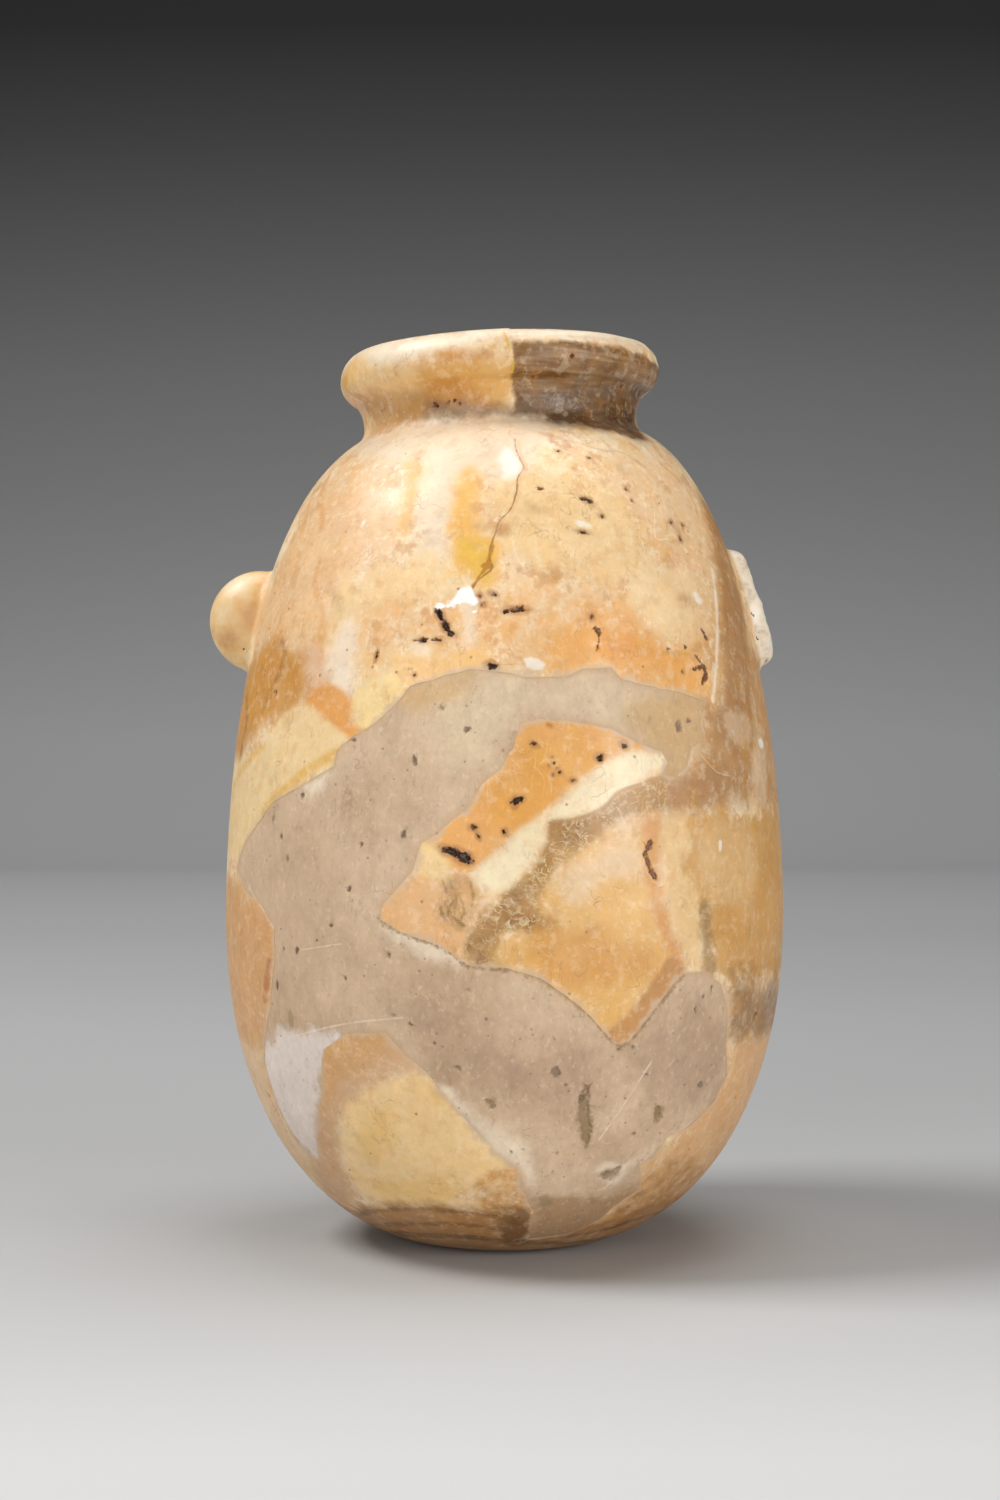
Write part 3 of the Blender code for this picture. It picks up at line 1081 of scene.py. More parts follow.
        reach = self.add("TexVoronoi", {"Vector": self.place, "Scale": 1 / 0.0032}, out="Distance")
        dot = self.add("MapRange", {"Value": reach, "From Min": 0.05, "From Max": 0.13,
                                    "To Min": 0.75, "To Max": 0.0})
        picked = self.add("Math", {0: reach.node.outputs["Color"], 1: 0.72},
                          operation="GREATER_THAN")
        cover = self.add("Math", {0: dot, 1: picked}, operation="MULTIPLY")
        return self.tint(colour, dark, cover)

    def shaded(self, **inputs: object) -> bpy.types.Material:
        """Close the material with a surface of these inputs, named with _ for their spaces."""
        surface = self.add("BsdfPrincipled", {name.replace("_", " "): value
                                              for name, value in inputs.items()})
        self.add("OutputMaterial", {"Surface": surface})
        return self.material


BROKEN_EDGE: Pixels = (
    368,728, 383,716, 398,701, 410,686, 440,677, 470,669, 500,671, 524,677, 546,677,
    566,676, 580,669, 612,667, 622,679, 650,686, 680,692, 706,700, 701,722, 705,738,
    693,748, 688,766, 676,777, 663,775, 669,762, 662,752, 640,743, 612,729, 575,722,
    540,719, 521,723, 513,748, 500,769, 481,785, 471,805, 455,818, 438,833, 421,843,
    413,870, 398,886, 381,905, 380,920, 400,932, 440,946, 468,965, 510,969, 540,978,
    565,995, 590,1015, 605,1033, 618,1044, 630,1040, 650,1015, 668,992, 684,973, 706,972,
    722,985, 729,1010, 727,1045, 728,1075, 716,1100, 690,1128, 667,1138, 655,1158,
    640,1166, 640,1190, 615,1207, 600,1221, 565,1236, 528,1240, 533,1212, 521,1190,
    518,1170, 500,1158, 480,1137, 458,1111, 438,1090, 428,1074, 405,1056, 385,1033,
    345,1034, 322,1050, 321,1090, 317,1130, 318,1162, 298,1146, 276,1105, 263,1060,
    270,1005, 273,960, 273,928, 260,905, 243,889, 236,868, 243,846, 259,820, 272,802,
    300,786, 333,766, 336,750, 352,736)

# Colour borders of the stone, from the lip downwards
LIP_PATCHES = (
    Patch("lip_cream", "EBDAC0", 5, 2, 0.9, outlines=((340,372, 350,350, 400,335, 560,324,
     640,336, 655,350, 630,343, 545,334, 420,358, 380,368, 366,384),)),
    Patch("lip_yellow", "D8A148", 5, 2, 0.85, outlines=((412,372, 440,358, 512,356, 516,380,
     505,412, 412,415), (341,380, 356,358, 362,368, 357,384, 346,390))),
    Patch("lip_left", "EDC484", 4, 2, 0.85, outlines=((352,362, 380,368, 412,366, 414,390,
     400,402, 354,392),)),
    Patch("lip_orange", "C6842A", 2.5, 1.5, 0.85, outlines=((436,352, 460,350, 486,350,
     490,360, 444,362), (425,390, 450,380, 500,405, 470,412, 430,410))),
    Patch("neck_amber", "AC7424", 5, 2, 0.6, outlines=((358,400, 440,396, 440,425, 400,434,
     362,446),)),
    # Brown stone of the lip's right sherd, laid darker low down as painted shade under the lip
    Patch("lip_brown_and_painted_shade", "6C430C", 1.4, 1.2, 1, texture=Texture.STREAKED, outlines=((512,342,
     530,340, 600,344, 632,350, 666,372, 655,390, 640,402, 644,440, 600,426, 560,422,
     510,421, 512,400, 512,364),)),
    # Darker stone under the lip, with the lip's shade on the neck painted in
    Patch("lip_dark_and_painted_shade", "4C2C0A", 5, 2, 0.82, outlines=((516,400, 610,386, 646,396, 646,440,
     600,428, 530,423), (430,410, 512,404, 514,423, 470,424, 430,432))),
    Patch("lip_joint", "D9B02A", 0.6, 0.3, 0.9, strokes=((0.55, (504,331, 508,342, 513,364,
     512,374)),)),
)
SHOULDER_PATCHES = (
    Patch("tan_shoulder", "E8BA86", 8, 4, 0.8, outlines=((285,560, 305,505, 335,480, 392,500,
     396,525, 345,575, 325,650, 262,650, 240,620),)),
    # A white band down the shoulder, with a painted highlight across the shoulder's top
    Patch("white_shoulder_and_painted_highlight", "EED8BA", 5, 3, 0.95, outlines=((360,442, 440,420, 545,419,
     522,475, 500,482, 478,470, 462,486, 450,548, 430,570, 418,545, 424,455, 395,462),)),
    Patch("cream_middle", "EECA92", 6, 5, 0.85, outlines=((345,585, 400,560, 440,560, 450,580,
     420,600, 352,620, 345,690, 330,690, 326,630), (510,470, 560,480, 610,480, 650,570,
     600,590, 560,570, 515,560, 500,540))),
    Patch("pink_shoulder", "EFC698", 6, 4, 0.75, texture=Texture.SPECKLED, outlines=((612,450,
     650,452, 690,490, 712,540, 712,600, 690,640, 672,600, 640,520, 615,490),)),
    Patch("yellow_ribbon", "ECB055", 3, 1.2, 0.9, outlines=((402,462, 420,466, 411,515,
     407,536, 397,532, 404,485),)),
    Patch("yellow_band", "EEB658", 4, 2, 0.95, outlines=((470,466, 478,480, 480,530, 497,545,
     484,590, 470,575, 450,562, 453,490),)),
    Patch("bright_yellow", "E6B640", 2.5, 1.5, 0.9, outlines=((456,542, 480,540, 494,550,
     494,568, 484,586),)),
    Patch("left_streaks", "D9954A", 2.2, 1, 0.7, strokes=((1.4, (322,486, 318,500, 322,515,
     319,532)), (0.9, (309,508, 300,534)), (1.0, (318,560, 314,585, 322,610, 320,640)))),
    Patch("shoulder_veins", "BC8448", 1, 0.6, 0.5, strokes=((0.6, (540,432, 600,449, 622,452,
     650,470)), (0.5, (640,440, 660,462, 688,490, 700,520)))),
    Patch("speckled_peach", "E8AE6A", 7, 4, 0.85, texture=Texture.SPECKLED, outlines=((492,585,
     565,572, 600,592, 640,605, 650,640, 600,668, 480,640), (372,608, 440,612, 478,606,
     474,640, 440,652, 400,648, 365,660))),
    Patch("orange_zone", "E9A54E", 7, 3, 0.9, outlines=((545,640, 612,610, 662,640, 690,648,
     708,700, 625,680, 610,668, 560,674),)),
    Patch("orange_core", "DE9238", 6, 2.5, 0.45, outlines=((596,628, 625,624, 672,652, 650,664,
     610,656),)),
    Patch("cream_tongue", "F2D09E", 5, 2, 0.9, outlines=((628,575, 690,572, 696,632, 672,642,
     632,605),)),
    Patch("cream_low_left", "F0C17C", 4, 2.5, 0.9, outlines=((400,652, 440,655, 478,650,
     486,664, 408,684),)),
    # Brownish stone down the right side, with the shade along the right edge painted in
    Patch("side_brown_and_painted_shade", "A06C38", 7, 1.6, 0.8, outlines=((702,500, 716,510, 742,600, 757,745,
     752,800, 735,805, 668,818, 664,782, 690,768, 706,740, 704,700, 719,700, 720,590),)),
    Patch("side_peach", "BE8A52", 6, 4, 0.85, outlines=((748,650, 765,660, 790,740, 800,800,
     780,815, 756,800, 760,745),)),
    Patch("white_line", "F6E2C8", 0.9, 0.4, 0.9, strokes=((1.0, (713,570, 717,600, 718,640,
     714,700)),)),
    Patch("golden_drops", "B9863C", 1.5, 0.9, 0.85, strokes=((1.8, (694,790, 697,803, 695,816)),
     (1.6, (744,738, 748,765, 746,790, 751,815)), (1.0, (640,648, 672,652, 694,658)))),
    Patch("pink_chip", "DDBE9C", 2.2, 1.6, 0.6, outlines=((726,716, 746,714, 754,728, 748,742,
     732,738), (754,746, 766,748, 767,802, 757,800, 753,770))),
)
LEFT_PATCHES = (
    Patch("white_left", "F4E0C6", 3.5, 1.5, 0.95, outlines=((345,622, 356,640, 352,692,
     340,702, 322,665),)),
    Patch("pink_left", "E2B894", 2.5, 1.5, 0.8, outlines=((303,655, 320,650, 324,680, 322,702,
     306,702),)),
    Patch("yellow_cream_left", "F3D494", 3, 1.5, 0.9, outlines=((356,690, 398,674, 402,690,
     368,730, 354,722),)),
    Patch("orange_diagonal", "E39A48", 3, 1.5, 0.95, outlines=((324,684, 342,690, 352,706,
     352,722, 366,734, 352,742, 306,704),)),
    Patch("amber_patch", "C8882E", 6, 1.4, 0.88, outlines=((272,636, 282,650, 302,656, 301,702,
     262,726, 236,760, 222,740, 236,690),)),
    Patch("amber_veins", "8A561C", 2, 0.9, 0.7, strokes=((1.2, (281,640, 283,660, 262,712)),
     (1.5, (246,690, 246,720, 236,775)))),
    Patch("cream_diagonal", "EFD09A", 2.2, 1.2, 0.95, outlines=((300,706, 322,716, 352,745,
     336,764, 272,800, 240,850, 214,862, 208,800, 224,775, 252,752, 278,722),)),
    Patch("yellow_hem", "E6B65E", 1.8, 0.8, 0.9, strokes=((2.2, (338,752, 296,778, 262,812)),
     (1.2, (262,745, 244,765, 232,790)))),
    Patch("left_margin", "D09A62", 4, 1.2, 0.85, outlines=((214,884, 236,880, 273,930,
     268,1005, 262,1050, 236,1060, 200,1000, 200,920),)),
    Patch("red_streak", "B8703C", 1, 0.7, 0.75, strokes=((1.6, (268,962, 264,1000)),)),
    Patch("left_low", "E3BE92", 3, 1.2, 0.85, outlines=((228,1040, 262,1056, 276,1105,
     298,1146, 318,1166, 310,1196, 250,1140, 215,1080),)),
)
CRYSTAL_BAND: Pixels = (
    (668, 772), (642, 784), (614, 796), (598, 812), (560, 816), (546, 824), (546, 845), (530, 870),
    (506, 890), (486, 910), (468, 938), (466, 962), (488, 972), (498, 950), (506, 932), (545, 932),
    (560, 924), (542, 910), (546, 890), (566, 866), (592, 846), (606, 830), (630, 815), (668, 812),
    (668, 790))
TONGUE_PATCHES = (
    Patch("tongue_orange", "E4A24C", 2.5, 1.5, 0.95, outlines=((512,726, 540,714, 620,726,
     655,750, 620,756, 572,786, 548,812, 522,828, 482,864, 458,872, 428,852, 425,838,
     450,820, 480,784, 500,768),)),
    Patch("tongue_golden", "E0A040", 4, 3, 0.6, outlines=((530,740, 620,742, 520,812, 490,822,
     498,790, 520,765),)),
    Patch("tongue_lower_peach", "E4AE72", 3, 1.5, 0.95, outlines=((400,884, 425,872, 474,880,
     476,905, 462,930, 466,960, 400,936, 376,918),)),
    Patch("tongue_pale_left", "F0CC8C", 2.5, 1.2, 0.95, outlines=((420,845, 440,848, 450,868,
     446,882, 412,870),)),
    Patch("crystal_band", "AC7E40", 2.2, 1.6, 0.95, outlines=(CRYSTAL_BAND,)),
    Patch("crystal_brown", "84581E", 3, 2.2, 0.9, texture=Texture.SPECKLED, outlines=((498,900,
     514,894, 530,904, 520,924, 502,924), (474,938, 492,944, 500,966, 480,966, 468,954),
     (526,912, 555,920, 562,932, 530,936), (556,816, 584,820, 582,840, 556,838), (482,916,
     498,922, 494,942, 480,938))),
    Patch("crystal_fractures", "F6E2B4", 2, 1.5, 0.6, texture=Texture.CRYSTALLINE,
     outlines=(CRYSTAL_BAND,)),
    Patch("yellow_field", "E2AE5C", 7, 1.2, 0.97, outlines=((560,926, 544,905, 570,862,
     650,830, 652,900, 672,960, 650,990, 620,1030, 602,1030, 540,976, 500,966, 500,948),)),
    Patch("field_pale", "EACAA0", 5, 2, 0.85, outlines=((560,866, 640,842, 646,868, 610,880,
     580,905, 562,900),)),
    Patch("field_gold", "D08F38", 7, 3, 0.7, outlines=((535,938, 580,930, 648,950, 648,975,
     575,985, 540,972),)),
    Patch("cream_wedge", "F6E4BC", 2.6, 0.8, 0.98, outlines=((640,750, 662,752, 670,762,
     655,774, 622,788, 604,806, 575,817, 548,820, 542,845, 510,886, 488,892, 472,882,
     480,866, 502,850, 522,830, 548,812, 600,766),)),
    Patch("wedge_hem", "A87A42", 0.8, 0.5, 0.75, strokes=((0.6, (662,776, 622,791, 604,808,
     574,820, 550,823)),)),
    Patch("tongue_hem", "BE8446", 1.6, 0.8, 0.9, outlines=((672,954, 686,970, 668,994,
     632,1040, 616,1046, 606,1032, 622,1020, 648,990),)),
    Patch("orange_streak", "D5924A", 3, 1.2, 0.85, outlines=((645,815, 662,812, 665,832,
     659,852, 668,915, 684,955, 674,962, 656,922, 644,848),)),
    Patch("field_right", "E6C086", 4, 2, 0.9, outlines=((664,815, 690,818, 700,850, 704,950,
     692,966, 676,940, 664,860),)),
    Patch("needle_ground", "A88444", 2.5, 2.5, 0.7, texture=Texture.SPECKLED, outlines=((440,880,
     474,884, 468,928, 450,926, 440,906),)),
    Patch("brown_needles", "83591F", 0.7, 0.8, 0.85, strokes=((0.35, (442,880, 446,892,
     444,904)), (0.4, (450,882, 456,898, 454,912)), (0.3, (470,882, 473,896, 472,906)),
     (0.35, (446,906, 454,918, 464,926)), (0.3, (458,890, 464,908, 462,918)), (0.3,
     (438,896, 442,914, 448,922)), (0.3, (453,900, 448,912, 452,924)))),
)
RIGHT_PATCHES = (
    Patch("right_field", "CD9850", 3, 4, 0.95, outlines=((690,826, 712,808, 745,812, 800,820,
     812,900, 800,970, 745,976, 722,978, 692,880),)),
    Patch("right_pale", "DDB680", 6, 2, 0.75, outlines=((700,830, 735,820, 755,840, 752,890,
     722,905, 700,880),)),
    Patch("grey_streak", "90703E", 2.5, 1.5, 0.75, outlines=((700,905, 706,900, 712,930,
     716,960, 714,985, 704,975),)),
    Patch("right_low", "6E4418", 9, 5, 0.75, outlines=((734,975, 760,980, 800,985, 792,1040,
     742,1040),)),
    Patch("right_peach", "DAA874", 4, 1.6, 0.85, outlines=((640,1168, 660,1158, 728,1078,
     745,1045, 790,1040, 770,1120, 720,1190, 650,1225, 610,1240, 600,1224, 640,1192),)),
    Patch("right_brown", "A06E34", 3.5, 2.5, 0.75, texture=Texture.SPECKLED, outlines=((670,1160,
     700,1180, 690,1215, 640,1238, 604,1240, 606,1222),)),
)
SHERD_PATCHES = (
    Patch("sherd_tan", "D2A168", 3, 1.2, 0.95, outlines=((320,1052, 346,1028, 388,1028,
     408,1056, 345,1082, 328,1112, 322,1162, 314,1140),)),
    Patch("sherd_brown", "D0A478", 5, 1, 0.95, outlines=((395,1050, 424,1068, 350,1100,
     340,1160, 356,1196, 345,1216, 316,1180, 336,1090, 362,1062),)),
    Patch("sherd_cream", "F4D094", 2.5, 1.2, 0.97, outlines=((350,1102, 404,1076, 428,1080,
     444,1098, 484,1144, 506,1164, 500,1180, 420,1205, 372,1200, 350,1180, 342,1140),)),
    Patch("sherd_yellow", "EDC274", 5, 2.5, 0.7, outlines=((366,1118, 392,1108, 396,1140,
     378,1160, 362,1150), (380,1185, 440,1180, 470,1190, 440,1205, 390,1205), (425,1080,
     444,1096, 440,1106, 425,1096))),
    Patch("sherd_orange", "C68A44", 2.5, 1.5, 0.9, texture=Texture.SPECKLED, outlines=((470,1188,
     480,1176, 505,1170, 522,1166, 534,1212, 500,1210, 478,1202),)),
)
BASE_PATCHES = (
    # Amber band round the front of the base, laid darker as painted shade low on the vessel
    Patch("base_amber_and_painted_shade", "A6723A", 4, 2, 0.9, chart=Chart.WALL, outlines=((-95,8, -60,9, -20,14,
     28,9, 50,11, 95,8, 95,-1, -95,-1),)),
    Patch("base_bands", "6A4418", 1.2, 1, 0.7, chart=Chart.WALL, strokes=((0.9, (-60,7, -40,10.5,
     -20,12.5, 4,11)), (1.4, (-70,4, -20,9, 0,8)), (1.6, (10,6, 30,5.5, 55,8, 75,6)),
     (2.5, (-80,2, -40,4.5, -10,5.5, 30,3, 80,3)))),
    Patch("base_dark", "6E4A1E", 1.8, 1.2, 0.8, outlines=((497,1206, 533,1214, 526,1246,
     504,1244, 500,1225),)),
)

# Cracks, pits and dabs of the stone
MARK_PATCHES = (
    # White calcite by the crack, with a painted sheen on the shoulder there
    Patch("crack_white_and_painted_highlight", "FFF8EC", 2, 0.9, 0.7, outlines=((500,456, 510,446, 523,466, 517,476,
     504,476),)),
    Patch("crack_smear", "C08A54", 1.6, 1.2, 0.7, texture=Texture.SPECKLED, outlines=((486,527,
     500,519, 513,527, 508,537, 494,534),)),
    Patch("crack_edge", "E6B482", 1, 0.5, 0.6, strokes=((0.9, (518,440, 521,455, 525,466,
     520,478, 518,495, 511,510)),)),
    Patch("crack_line", "A0702A", 0.3, 0.2, 0.85, depth=0.3, ragged=0.08, strokes=((0.3, (515,438,
     516,448, 521,460, 524,467, 518,477, 517,490, 511,508, 500,520, 496,531, 491,545,
     489,556, 492,568, 480,578, 473,587)),)),
    Patch("crack_glue", "B87A0E", 0.5, 0.5, 0.9, strokes=((0.7, (492,546, 487,566)), (0.45,
     (487,566, 479,576, 472,588))), spots=((487, 565, 5, 3, 0),)),
    Patch("pink_trail", "F5E0C6", 2, 0.9, 0.6, outlines=((462,604, 474,606, 476,625, 472,644,
     464,640), (406,646, 420,642, 432,650, 420,656))),
    Patch("white_dab", "FFFCF6", 0.5, 1.3, 0.97, outlines=((456,592, 466,587, 474,591, 479,600,
     476,608, 466,604, 456,607, 446,607),), spots=((440, 606, 3, 1.5, 0), (474, 612, 2, 2, 0))),
    Patch("white_chips", "F6ECDC", 0.6, 0.9, 0.8, spots=((535, 664, 9, 5, 20), (721, 847, 2.6, 5.5,
     10), (762, 743, 7, 4, 10), (583, 524, 6, 2.5, 20), (362, 524, 5, 2, 100), (698, 598, 6, 3,
     60))),
    Patch("pale_scratches", "FBEBCF", 0.35, 0.1, 0.55, strokes=((0.22, (655,508, 656,537,
     669,538)), (0.25, (513,540, 517,556, 527,572)), (0.2, (596,800, 612,790, 640,782)),
     (0.2, (702,755, 718,772, 732,776)), (0.25, (250,888, 258,903, 270,922)), (0.2,
     (676,560, 690,600)))),
    Patch("brown_smears", "A87444", 2.2, 0.9, 0.4, texture=Texture.SPECKLED, spots=((534, 507, 8,
     5, 20), (537, 675, 6, 4, 30), (680, 530, 12, 9, 60), (620, 468, 8, 5, 30), (660, 482, 9, 4,
     40), (556, 575, 14, 8, 0), (686, 600, 12, 8, 20), (335, 600, 14, 8, 60), (295, 575, 12, 5,
     80), (478, 412, 12, 3, -5), (480, 525, 8, 5, 0), (692, 892, 3, 5, 0))),
    Patch("rusty_pits", "6E3C14", 0.5, 0.6, 0.95, depth=0.35, strokes=((1.1, (651,842, 647,853,
     650,866, 656,878)), (0.8, (695,669, 703,666, 707,674, 704,682)), (0.5, (697,655,
     702,662)), (0.5, (703,630, 707,638)), (0.45, (598,628, 600,640, 597,650)), (0.4,
     (286,1132, 280,1120, 272,1105))), spots=((670, 648, 3, 3, 0), (686, 647, 2.8, 2.2, 30),
     (757, 1016, 3.5, 4.5, 20), (264, 673, 1.6, 3, 10), (275, 692, 3, 2.2, 0), (540, 488, 3, 2, 0),
     (598, 629, 3, 2, 50), (268, 1096, 2, 3, -30))),
    Patch("small_pits", "6A4320", 0.45, 0.35, 0.95, depth=0.5, spots=((474, 827, 2.6, 1.6, 0),
     (478, 836, 1.2, 2.4, -30), (625, 745, 2.2, 1.8, 30), (534, 744, 3, 1.4, 40), (549, 725, 2,
     1.2, 40), (573, 781, 2.6, 1.2, 10), (554, 763, 0.9, 0.9, 0), (557, 768, 0.9, 0.8, 0), (553,
     774, 0.8, 0.9, 0), (549, 766, 0.7, 0.7, 0), (552, 757, 0.7, 0.7, 0), (560, 772, 0.7, 0.7, 0),
     (434, 405, 1.7, 1.4, 0), (447, 403, 1.6, 1.2, 0), (453, 401, 1.8, 1, 0), (459, 403, 1.6, 1.3,
     0), (623, 388, 4, 2.6, 0), (533, 378, 1.6, 1.4, 0), (650, 380, 2, 2, 0), (584, 532, 6, 1.6,
     12), (627, 489, 3, 1.4, 40), (633, 500, 2.2, 1.3, 60), (558, 450, 2.4, 1.1, 10), (376, 655, 1,
     4.5, 10), (493, 594, 3, 1.4, 25), (592, 617, 1.8, 2.6, 0), (684, 671, 1.3, 1.2, 0), (681, 538,
     1.6, 3, 0), (672, 522, 2, 1.4, 0), (683, 524, 2, 1.4, 0), (414, 675, 1.4, 1.2, 0), (589, 457,
     1.6, 1, 0), (573, 355, 3, 1.4, 0), (466, 810, 1.5, 1.2, 0), (414, 640, 1.5, 1, 0), (436, 639,
     3.4, 1.8, 0), (479, 596, 1.4, 1.4, 0), (482, 604, 1.2, 1.2, 0))),
    Patch("deep_pits", "5A3C26", 0.4, 0.5, 0.97, depth=1.0, spots=((440, 615, 5, 2.4, 60), (446,
     627, 6, 3, 62), (451, 633, 4.4, 2.6, 20), (422, 640, 4.4, 2, 0), (517, 609, 9, 3, -3), (507,
     611, 3, 1.6, 0), (492, 666, 4, 3.4, 0), (587, 499, 4.6, 1.8, 22), (603, 515, 2.2, 1.6, 0),
     (449, 851, 7.5, 3, 15), (462, 857, 8.5, 4, 25), (516, 801, 5.6, 2.2, -20), (515, 802, 2.2,
     4.4, 10), (504, 832, 3.6, 2, 40), (600, 758, 3.4, 2.6, 0))),
)
# Old dirt round each pit
PITS = tuple(spot for patch in MARK_PATCHES if patch.name in ("small_pits", "deep_pits")
             for spot in patch.spots)
MARK_PATCHES = (
    Patch("pit_stains", "A8703A", blur=1.0, wander=0.9, cover=0.65, spots=tuple(
        (x, y, 1.3 * length + 1.4, 1.5 * width + 1.2, turn) for x, y, length, width, turn in PITS)),
    *MARK_PATCHES,
    Patch("pit_hearts", "3C281C", blur=0.4, wander=0.5, cover=0.8, spots=tuple(
        (x, y, 0.7 * length, 0.5 * width, turn) for x, y, length, width, turn in PITS
        if length > 3.5)))
STONE_PATCHES = (LIP_PATCHES + SHOULDER_PATCHES + LEFT_PATCHES + TONGUE_PATCHES + RIGHT_PATCHES
                 + SHERD_PATCHES + BASE_PATCHES + MARK_PATCHES)

PLASTER_PATCHES = (
    Patch("plaster_pale", "DEC8A6", 9, 4, 0.7, outlines=((425,700, 470,680, 600,680, 660,700,
     640,722, 530,712, 505,740, 470,765, 435,745),)),
    Patch("plaster_dark", "C4A688", 12, 5, 0.6, outlines=((232,862, 256,838, 300,845, 340,900,
     352,950, 310,985, 272,975, 274,930),)),
    Patch("plaster_grey", "B09278", 12, 6, 0.7, outlines=((400,1000, 440,1010, 500,1050,
     560,1040, 600,1060, 600,1110, 540,1110, 470,1080, 420,1040), (640,1040, 700,1000,
     728,1060, 700,1110, 650,1100))),
    Patch("plaster_chalky", "E8DAD0", 4, 3, 0.85, outlines=((260,1042, 330,1034, 326,1060,
     318,1130, 320,1166, 274,1106),)),
    Patch("plaster_light", "EAD7BC", 3, 2, 0.8, outlines=((438,1086, 500,1130, 530,1150,
     532,1185, 516,1172, 498,1160), (298,782, 312,774, 330,770, 318,790, 304,800),
     (380,925, 440,940, 470,962, 440,965, 400,945), (600,1166, 640,1158, 690,1125,
     650,1150, 612,1185))),
    Patch("plaster_tan", "CFA874", 5, 2.5, 0.75, outlines=((630,700, 706,700, 690,772, 668,778,
     668,756, 646,742), (400,690, 440,678, 470,672, 466,690, 420,710))),
    Patch("plaster_base", "A98258", 5, 2.5, 0.8, outlines=((536,1206, 612,1196, 640,1186,
     640,1215, 600,1240, 528,1250),)),
    Patch("tongue_shade", "94704A", 0.7, 0.4, 0.7, depth=0.15, strokes=((0.5, (376,919, 400,934,
     440,948, 468,967, 510,971, 540,980, 565,997, 590,1017, 605,1035, 618,1046, 631,1042,
     651,1017, 669,994, 684,976)), (0.4, (730,1066, 724,1088, 712,1106)))),
    Patch("plaster_scratches", "F0DFC6", 0.35, 0.15, 0.6, strokes=((0.3, (288,1038, 345,1024,
     402,1018)), (0.25, (652,1062, 600,1140)), (0.25, (640,1165, 668,1140, 706,1112)), (0.35,
     (248,888, 272,926)), (0.2, (300,950, 340,944)), (0.2, (410,1060, 404,1100)), (0.25,
     (604,1190, 622,1172)))),
    Patch("plaster_smudges", "9A8260", 1.2, 0.8, 0.6, spots=((290, 1020, 4, 8, 0), (262, 1018, 3,
     8, 0), (440, 1105, 10, 3, 30), (546, 1202, 5, 7, 0), (610, 1172, 9, 3, -20), (545, 1198, 4, 4,
     0), (595, 1202, 7, 3, 20), (460, 1068, 3, 2, 0))),
    Patch("plaster_gouges", "8C7350", 1.2, 1.2, 0.8, depth=0.45, outlines=((582,1093, 589,1088,
     590,1112, 592,1128, 588,1147, 583,1138, 579,1112), (655,1108, 661,1107, 662,1118,
     657,1122), (484,1100, 492,1101, 494,1110, 486,1107), (602,1175, 612,1172, 622,1165,
     616,1177, 606,1180))),
    Patch("plaster_bubbles", "86705A", 0.7, 0.6, 0.85, depth=0.4, spots=((302, 796, 3, 3, 0), (361,
     844, 1.3, 1.2, 0), (403, 835, 2.6, 3, 0), (414, 760, 3.2, 4.5, -20), (441, 707, 3, 2.6, 0),
     (467, 730, 2.6, 2.4, 0), (352, 741, 2.4, 1.6, 0), (680, 726, 4, 4, 0), (690, 720, 2, 2, 0),
     (556, 1072, 4.4, 5.5, 0), (582, 1100, 4, 3, 0), (702, 1085, 3, 2, 40), (713, 990, 1.8, 5,
     -10), (705, 996, 1.6, 3, 10), (696, 1010, 2, 2, 0), (486, 1020, 1.2, 1.2, 0), (470, 990, 1.4,
     1.4, 0), (393, 1016, 1.2, 1.2, 0), (344, 979, 1.8, 2.6, 0), (402, 937, 1.5, 1, 0), (524, 1150,
     1.5, 1.3, 0), (512, 1153, 1.5, 1.3, 0), (555, 1154, 2, 1.2, 0), (566, 1086, 1.5, 1.3, 0),
     (541, 1084, 2, 1.5, 0), (626, 1099, 1.8, 1.5, 0), (635, 1134, 1.3, 1.3, 0), (634, 1046, 1.4,
     1.6, 0), (620, 1050, 2, 1.2, 0), (295, 952, 1.6, 4, 10), (282, 950, 1.4, 3, 20), (315, 940,
     1.6, 2, 0), (276, 985, 2, 5, 0), (388, 955, 1.4, 1.6, 0), (410, 1025, 1.4, 1.2, 0), (674,
     1034, 2, 1.8, 0), (434, 1044, 1.8, 1.4, 0), (456, 1068, 1.8, 1.2, 0), (280, 836, 2, 3, 0),
     (286, 858, 2, 3, 0), (272, 818, 2, 3, 30), (348, 888, 2.4, 3, 0), (330, 925, 2, 2, 0), (648,
     1075, 1.2, 1.2, 0))),
)


